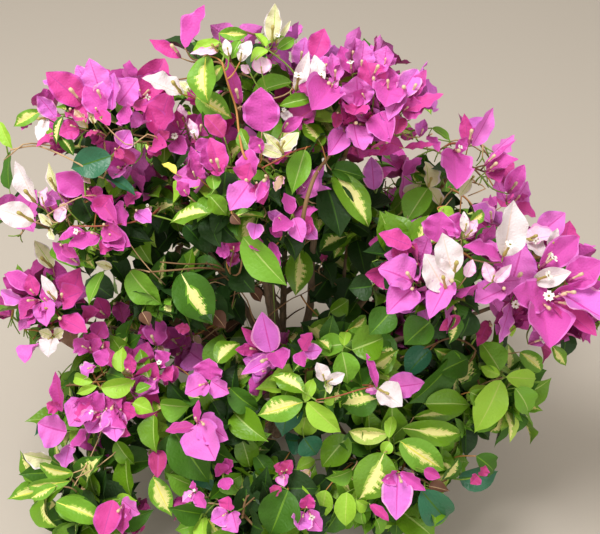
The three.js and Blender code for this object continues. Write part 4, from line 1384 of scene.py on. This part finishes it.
def grow_tip(mass, space, line, blooming, dice):
    """What a fine twig carries: leaves along it, and bracts or a tuft of young leaves at its end."""
    region = region_of(mass)
    tip, tangent = line.at(1), line.tangent(1)
    blooming = blooms(tip, mass, blooming, dice)
    turn = dice.uniform(0, math.tau)
    places = LEAF_PLACES
    if blooming:
        places = BLOOMING_LEAF_PLACES if dice.random() < 0.5 else ()
    for i, place in enumerate(places):
        at, way = line.at(place), line.tangent(place)
        along = unit(perpendicular(way, turn + i * LEAF_TURN) + way * 0.35 + UP * 0.15)
        kind = leaf_kind(at, mass, dice, False)
        scale = dice.uniform(0.5, 0.92) + (0.08 if at[2] < LOW else 0)
        add_leaf(region, at, along, kind, scale, dice)
    if blooming:
        grow_trios(region, space, tip, tangent, turn, dice)
    else:
        grow_tuft(mass, tip, tangent, turn, dice)


LEAF_TURN = 2.4  # from one leaf to the next round a twig
TUFT_SCALES = (0.85, 0.4)
TUFT_LEANS = (1.25, 0.6)


def grow_tuft(mass, tip, tangent, turn, dice):
    """Leaves round the end of a twig, smaller and younger towards its bud."""
    count = dice.choice((2, 3) if mass.bloom > RICH_BLOOM and tip[1] < FRONT_HALF else (3, 4, 5))
    for i in range(count):
        share = i / (count - 1)
        scale = between(TUFT_SCALES, share) * dice.uniform(0.85, 1.15)
        lean = between(TUFT_LEANS, share)
        aside = perpendicular(tangent, turn + 1 + i * LEAF_TURN)
        along = unit(tangent * math.cos(lean) + aside * math.sin(lean) + UP * 0.15)
        kind = leaf_kind(tip, mass, dice, young=i >= count - 2)
        add_leaf(region_of(mass), tip, along, kind, scale, dice, TUFT_STALK)


TRIO_SHOOTS = (12, 20)  # the lengths of the short shoots between trios on one twig
TRIO_SHOOT_RADII = (0.8, 0.65, 0.6)
TRIO_ROOM = BLADE_ROOM - 6


def grow_trios(region, space, tip, tangent, turn, dice):
    """The trios of bracts at the end of a twig. Two or three have a short shoot each."""
    trios = picked({1: 4, 2: 4, 3: 2}, dice)
    for i in range(trios):
        end = tip
        if trios > 1:
            aside = perpendicular(tangent, turn + i * math.tau / trios)
            end = tip + unit(tangent + aside * 0.9) * dice.uniform(*TRIO_SHOOTS)
            end = space.settled(end, TRIO_ROOM)
            points = [tip, (tip + end) / 2 + tangent, end]
            add_tube(twig_heaps[region], points, TRIO_SHOOT_RADII, 5, "shoot_green")
        axis = unit(unit(end - tip + tangent) * 1.1 + facing(end) * 0.9)
        add_trio(region, end, axis, dice.uniform(0, 2), dice.uniform(0.6, 0.92), dice)


TWIG_BARKS = {"twig_brown": 4, "shoot_tan": 3, "shoot_orange": 1, "shoot_red": 1}
STRAY = 0.05  # how far a twig's middle strays, as a share of its length


def arched(start, end, rise, dice):
    """A twig's line: it leaves steeply and bends over under its own weight."""
    span = np.linalg.norm(end - start)
    middle = (start + end) / 2 + UP * span * rise
    middle += scatter(dice) * span * STRAY
    return Line([start, middle, end], steps=5)


def grow_mass(number, mass):
    """The twigs of one mass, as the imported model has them, and the finer ones that they carry."""
    draw = seeded(SEED + number)
    dice = random.Random(SEED + number)
    space = SPACES[mass.name]
    limb = LIMBS[mass.name]
    region = region_of(mass)
    foot = limb.at(1)
    onward = limb.tangent(1)
    lift = unit(unit(space.middle - foot) + UP * 0.5)
    top = space.middle + lift * space.room(lift) * STEM_REACH
    stem = Line([foot, foot + onward * 4, space.middle, top])
    add_twig(region, stem, 10, (mass.limb.radius * LIMB_TIP_SHARE, 1.4), 7, "twig_brown")
    for i in range(mass.twigs):
        share = i / (mass.twigs - 1)
        slope = between(TWIG_SPREAD, share)
        aside = perpendicular(lift, i * GOLDEN_ANGLE + draw() * 0.6)
        way = lift * slope + aside * math.sqrt(1 - slope * slope)
        root = stem.at(between(TWIG_ROOTS, share))
        blooming = draw() < mass.bloom
        draw()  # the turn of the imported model's whorl, which finer twigs replace here
        tip = space.settled(space.middle + way * space.room(way) * TWIG_REACH, BLADE_ROOM)
        twig = arched(root, tip, 0.12, dice)
        bark = picked(TWIG_BARKS, dice)
        add_twig(region, twig, 8, (1.5, 0.9), 6, bark)
        twig_points.append(twig.spaced(8)[3:])
        grow_tip(mass, space, twig, blooming, dice)
        grow_inner_leaves(region, space, twig, dice)
        grow_side_twigs(mass, space, twig, bark, blooming, dice)


def grow_inner_leaves(region, space, twig, dice):
    for place in INNER_LEAVES:
        at = twig.at(place)
        along = unit(perpendicular(twig.tangent(place), dice.uniform(0, math.tau)) + UP * 0.15)
        # Dark and deep green: the old leaves' own colour, and partly painted shade inside the crown.
        kind = dice.choice(("dark", "dark", "deep"))
        scale = dice.uniform(0.65, 0.95)
        tip = at + along * LEAF_FORM["length"] * scale
        if np.linalg.norm((tip - space.middle) / space.half) < INNER_REACH:
            add_leaf(region, at, along, kind, scale, dice)


def grow_side_twigs(mass, space, twig, bark, blooming, dice):
    airy = AIRY.get(mass.name, 0 if mass.middle[2] < LOW else AIRY_ELSEWHERE)
    for i, place in enumerate(SIDE_TWIGS):
        start, tangent = twig.at(place), twig.tangent(place)
        aside = perpendicular(tangent, i * GOLDEN_ANGLE + dice.uniform(0, 1))
        out = unit(tangent * 0.8 + aside * 0.9 + UP * 0.2)
        end = space.settled(start + out * dice.uniform(*SIDE_TWIG_LENGTHS), BLADE_ROOM)
        if np.linalg.norm(end - start) < SHORTEST_TWIG or dice.random() < airy:
            continue
        side = arched(start, end, 0.08, dice)
        add_twig(region_of(mass), side, 5, (1.0, 0.7), 5, dice.choice((bark, "shoot_green")))
        twig_points.append(side.spaced(5)[1:])
        grow_tip(mass, space, side, blooming, dice)


def add_shoots():
    """The long shoots that stand out, each joined to the nearest twig."""
    grown = np.concatenate(twig_points)
    for bark, radius, *places in TWIGS_SEEN:
        points = [CAMERA_PLACE + sight(*place) * (first_mass(*place) - SHOOT_LIFT) for place in places]
        away = np.linalg.norm(grown - points[-1], axis=1)
        line = Line([*points, grown[away.argmin()]], steps=5)
        count = max(6, int(line.length / 8))
        add_twig(nearest_region(line.at(0.5)), line, count, (radius * 0.7, radius), 6, bark)
        twig_points.append(line.spaced(count))


STALK_BARKS = ("shoot_green", "shoot_tan", "shoot_orange", "shoot_green")
SAME_STALK = 9  # blades whose roots are nearer to each other share a stalk
BROAD_SEEN = 28
ROLL_SEEN = 0.6
# The usual length and width of a moulded blade, by which those that stand out are scaled
LEAF_SIZE = (49, 33)
BRACT_SIZE = (42, 32)
FLOWER_BRACT = 36  # a flower next to a bract of this length has its full size
FLOWER_CHANCE, PALE_FLOWER_CHANCE = 0.5, 0.9
SEEN_OPEN_SHARE = 0.18  # of the flowers next to bracts that stand out are open
PALE_KINDS = ("white", "blush", "cream", "withered")
SHADE_OFF = {"light": "orchid", "magenta": "rose", "deep": "rose"}
SHADE_OFF_SHARE = 0.35


def add_stalk(region, points, root, along, face, dice):
    """A stalk to this root from the nearest twig behind it."""
    behind = np.linalg.norm(points - (root - face * 12 - along * 6), axis=1)
    start = points[behind.argmin()]
    stalk = Line([start, (start + root) / 2 - along * 3 - face * 2, root], steps=4)
    add_twig(region, stalk, 6, (1.0, 0.55), 5, dice.choice(STALK_BARKS))


def add_seen(dice):
    """The leaves and bracts that stand out, each on a stalk from the nearest twig."""
    points = np.concatenate(twig_points)
    ends = []
    for is_bract, kind, root, tip, width, face in SEEN:
        region = nearest_region(root)
        if is_bract:
            tip = tip + FRONT * np.linalg.norm(tip - root) * dice.uniform(0.2, 0.5)
        tip, root = np.clip(tip, LOWEST, HIGHEST), np.clip(root, LOWEST, HIGHEST)
        along, length = unit(tip - root), np.linalg.norm(tip - root)
        near = [end for end in ends if np.linalg.norm(end - root) < SAME_STALK]
        if near:
            fork = [near[0], (near[0] + root) / 2 - face, root]
            add_tube(twig_heaps[region], fork, (0.7, 0.6, 0.5), 4, "shoot_green")
        else:
            add_stalk(region, points, root, along, face, dice)
            ends.append(root)
        steady = 0.5 if width > BROAD_SEEN or kind == "white" else 1
        roll = dice.uniform(-ROLL_SEEN, ROLL_SEEN) * steady
        if is_bract:
            add_seen_bract(region, kind, root, along, face, length, width, roll, dice)
        else:
            shape = dice.choice(FINE_MARKED_LEAVES if kind in MARKED_KINDS else FINE_LEAVES)
            usual, broad = LEAF_SIZE
            finish = LEAF_KINDS[kind]
            lay(leaf_heaps[region], shape, finish, root, along, face, length / usual, roll, width / broad)


def add_seen_bract(region, kind, root, along, face, length, width, roll, dice):
    """A bract that stands out, and often a flower at its root."""
    pale = kind in PALE_KINDS
    if kind in SHADE_OFF and dice.random() < SHADE_OFF_SHARE:
        kind = SHADE_OFF[kind]
    heap = pale_bracts if pale else bract_heaps[region]
    shape = dice.choice(FINE_BRACTS)
    usual, broad = BRACT_SIZE
    lay(heap, shape, BRACT_KINDS[kind], root, along, face, length / usual, roll, width / broad)
    if dice.random() < (PALE_FLOWER_CHANCE if pale else FLOWER_CHANCE):
        shape = OPEN_FLOWER if dice.random() < SEEN_OPEN_SHARE else CLOSED_FLOWER
        way = unit(face + along * dice.uniform(0.3, 0.9))
        finish = PALE_FLOWER_FINISH if pale else FLOWER_FINISH
        scale = min(1.0, length / FLOWER_BRACT) * dice.uniform(0.9, 1.2)
        lay(flowers, shape, finish, root, way, -along, scale)


BACK_SHOOTS = (0.3, 0.4, 0.5, 0.6, 0.7, 0.8, 0.9)  # where a limb carries leafy shoots, when it is behind
BEHIND = 8  # at least this far back
BACK_LENGTHS = (30, 52)
BACK_LEAVES = 5
BACK_KINDS = {"green": 4, "deep": 4, "dark": 2, "variegated": 2, "fresh": 2}


def grow_back_shoots():
    """Short leafy shoots on the limbs behind the trunk, so that the crown is full on that side too."""
    dice = random.Random(SEED)
    for mass in MASSES:
        limb, region = LIMBS[mass.name], region_of(mass)
        for i, place in enumerate(BACK_SHOOTS):
            root, way = limb.at(place), limb.tangent(place)
            if root[1] < BEHIND:
                continue
            aside = perpendicular(way, i * GOLDEN_ANGLE + dice.uniform(0, 1))
            out = unit(way * 0.4 + aside + UP * 0.2)
            shoot = arched(root, root + out * dice.uniform(*BACK_LENGTHS), 0.1, dice)
            add_twig(region, shoot, 5, (1.2, 0.7), 5, "twig_brown")
            turn = dice.uniform(0, math.tau)
            for j in range(BACK_LEAVES):
                share = j / (BACK_LEAVES - 1)
                aside = perpendicular(out, turn + j * LEAF_TURN)
                along = unit(aside + out * between((0.2, 1), share) + UP * 0.2)
                kind = picked(BACK_KINDS, dice)
                scale = dice.uniform(0.6, 0.9)
                add_leaf(region, shoot.at(between((0.35, 1), share)), along, kind, scale, dice)


BARK_SIDES = 12
TRUNK_SIDES = 40
TRUNK_RINGS = 34
FLARE_TOP = 30  # the ribs at the trunk's foot fade out up to this height
FLARE_RIBS = 4
# As shares of the radius: how far the trunk's ribs stand out at the ground, and its ridges and fine ones
FLARE, RIDGE, FINE_RIDGE = 0.16, 0.13, 0.06
LIMB_RIDGE = 0.16
KNOT = 0.12


def ridged(angles, across, up, shift=0.0):
    """How much bark stands out at these angles round a limb, in a pattern that changes slowly upwards."""
    return np.array([
        noise.noise((math.cos(angle) * across + shift, math.sin(angle) * across, up)) for angle in angles
    ])


def bark_shape(points, seed, depth):
    """Ridges along a limb, twisted a little, and swellings where old leaves stood."""
    def scales(i, angles):
        twisted = angles + i * 0.05
        ridges = ridged(twisted, 1.7, points[i][2] * 0.02 + i * 0.12, seed)
        fine = ridged(twisted, 4, i * 0.35, seed)
        knot = KNOT * max(0.0, math.sin(i * 0.9 + seed)) ** 6
        return 1 + depth * ridges + depth * 0.5 * fine + knot
    return scales


def grow_trunk():
    """The trunk: flared at the foot, ridged, and cut flat at the ground."""
    heights = np.concatenate(([0.0], np.linspace(2, TRUNK_HEIGHT + 2, TRUNK_RINGS)))
    shares = [share for _, share in TRUNK_PROFILE]
    radii = np.interp(heights / TRUNK_HEIGHT, shares, [radius for radius, _ in TRUNK_PROFILE])
    angles = np.arange(TRUNK_SIDES) * math.tau / TRUNK_SIDES
    rings = []
    for height, radius in zip(heights, radii):
        flare = FLARE * max(0.0, 1 - height / FLARE_TOP) * np.cos(FLARE_RIBS * angles + 0.7)
        ridges = ridged(angles, 2.4, height * 0.02)
        fine = ridged(angles, 7, height * 0.06)
        reach = radius * (1 + flare + RIDGE * ridges + FINE_RIDGE * fine)
        across, along = np.cos(angles) * reach + lean_at(height), np.sin(angles) * reach
        rings.append(np.stack((across, along, np.full(TRUNK_SIDES, height)), axis=1))
    spine = np.stack(([lean_at(height) for height in heights], np.zeros(len(heights)), heights), axis=1)
    body, corners, sizes = tube(spine, radii, TRUNK_SIDES)
    body[: len(heights) * TRUNK_SIDES] = np.concatenate(rings)
    wood.add(body, corners, sizes, np.zeros(len(sizes), dtype=int), ["rough_bark"])


def grow_limbs():
    for number, mass in enumerate(MASSES):
        line = LIMBS[mass.name]
        count = max(8, int(line.length / 4))
        points = line.spaced(count)
        radii = np.linspace(mass.limb.radius, mass.limb.radius * LIMB_TIP_SHARE, count + 1)
        shape = bark_shape(points, number * 3.1, LIMB_RIDGE)
        add_tube(wood, points, radii, BARK_SIDES, "rough_bark", shape)


grow_trunk()
grow_limbs()
for number, mass in enumerate(MASSES):
    grow_mass(number, mass)
add_shoots()
add_seen(random.Random(SEED))
grow_back_shoots()

limb_nodes = [("branch_" if mass.limb.carrier else "bough_") + mass.name for mass in MASSES]
wood.piece("bark", ["trunk", *limb_nodes], {"rough_bark": rough_bark()})
for region in REGIONS:
    nodes = ["mass_" + mass.name for mass in MASSES if region_of(mass) == region]
    leaf_heaps[region].piece("foliage", nodes)
    bract_heaps[region].piece("bloom", nodes)
    twig_heaps[region].piece("bark", nodes)
every_mass = ["mass_" + mass.name for mass in MASSES]
flowers.piece("pale_bloom", every_mass)
pale_bracts.piece("pale_bloom", every_mass)

# Floor, light and camera, in metres

FLOOR_REACH = 6.0
HEART = (0, 0, 0.25)  # where the lights point


def pale_floor():
    """Seamless matt card, pale and warm."""
    mesh = bpy.data.meshes.new("floor")
    corners = [(x * FLOOR_REACH, y * FLOOR_REACH, 0) for x, y in ((-1, -1), (1, -1), (1, 1), (-1, 1))]
    mesh.from_pydata(corners, [], [(0, 1, 2, 3)])
    floor = bpy.data.objects.new("floor", mesh)
    card = bpy.data.materials.new("matt_card")
    card.use_nodes = True
    shader = card.node_tree.nodes["Principled BSDF"]
    shader.inputs["Base Color"].default_value = colour("#C2B8AB")
    shader.inputs["Roughness"].default_value = 0.9
    mesh.materials.append(card)
    bpy.context.scene.collection.objects.link(floor)


def soft_light(name, place, size, power):
    """A round white lamp of this diameter in metres and power in watts."""
    lamp = bpy.data.lights.new(name, "AREA")
    lamp.shape = "DISK"
    lamp.size = size
    lamp.energy = power
    stand = bpy.data.objects.new(name, lamp)
    stand.location = place
    stand.rotation_euler = (Vector(HEART) - Vector(place)).to_track_quat("-Z", "Y").to_euler()
    bpy.context.scene.collection.objects.link(stand)


pale_floor()
soft_light("sky_light", (-0.7, -0.5, 2.3), 1.1, 45)
soft_light("front_fill", (0.9, -2.2, 1.3), 1.6, 10)
world = bpy.data.worlds.new("even_sky")
world.use_nodes = True
background = world.node_tree.nodes["Background"]
background.inputs["Color"].default_value = colour("#F8F4EC")
background.inputs["Strength"].default_value = 0.67
bpy.context.scene.world = world
bpy.context.scene.view_settings.view_transform = "Standard"

lens = bpy.data.cameras.new("camera")
lens.lens = LENS
lens.sensor_width = SENSOR
camera = bpy.data.objects.new("camera", lens)
camera.location = CAMERA_PLACE * MM
camera.rotation_euler = (CAMERA_PITCH, 0, 0)
bpy.context.scene.collection.objects.link(camera)
bpy.context.scene.camera = camera
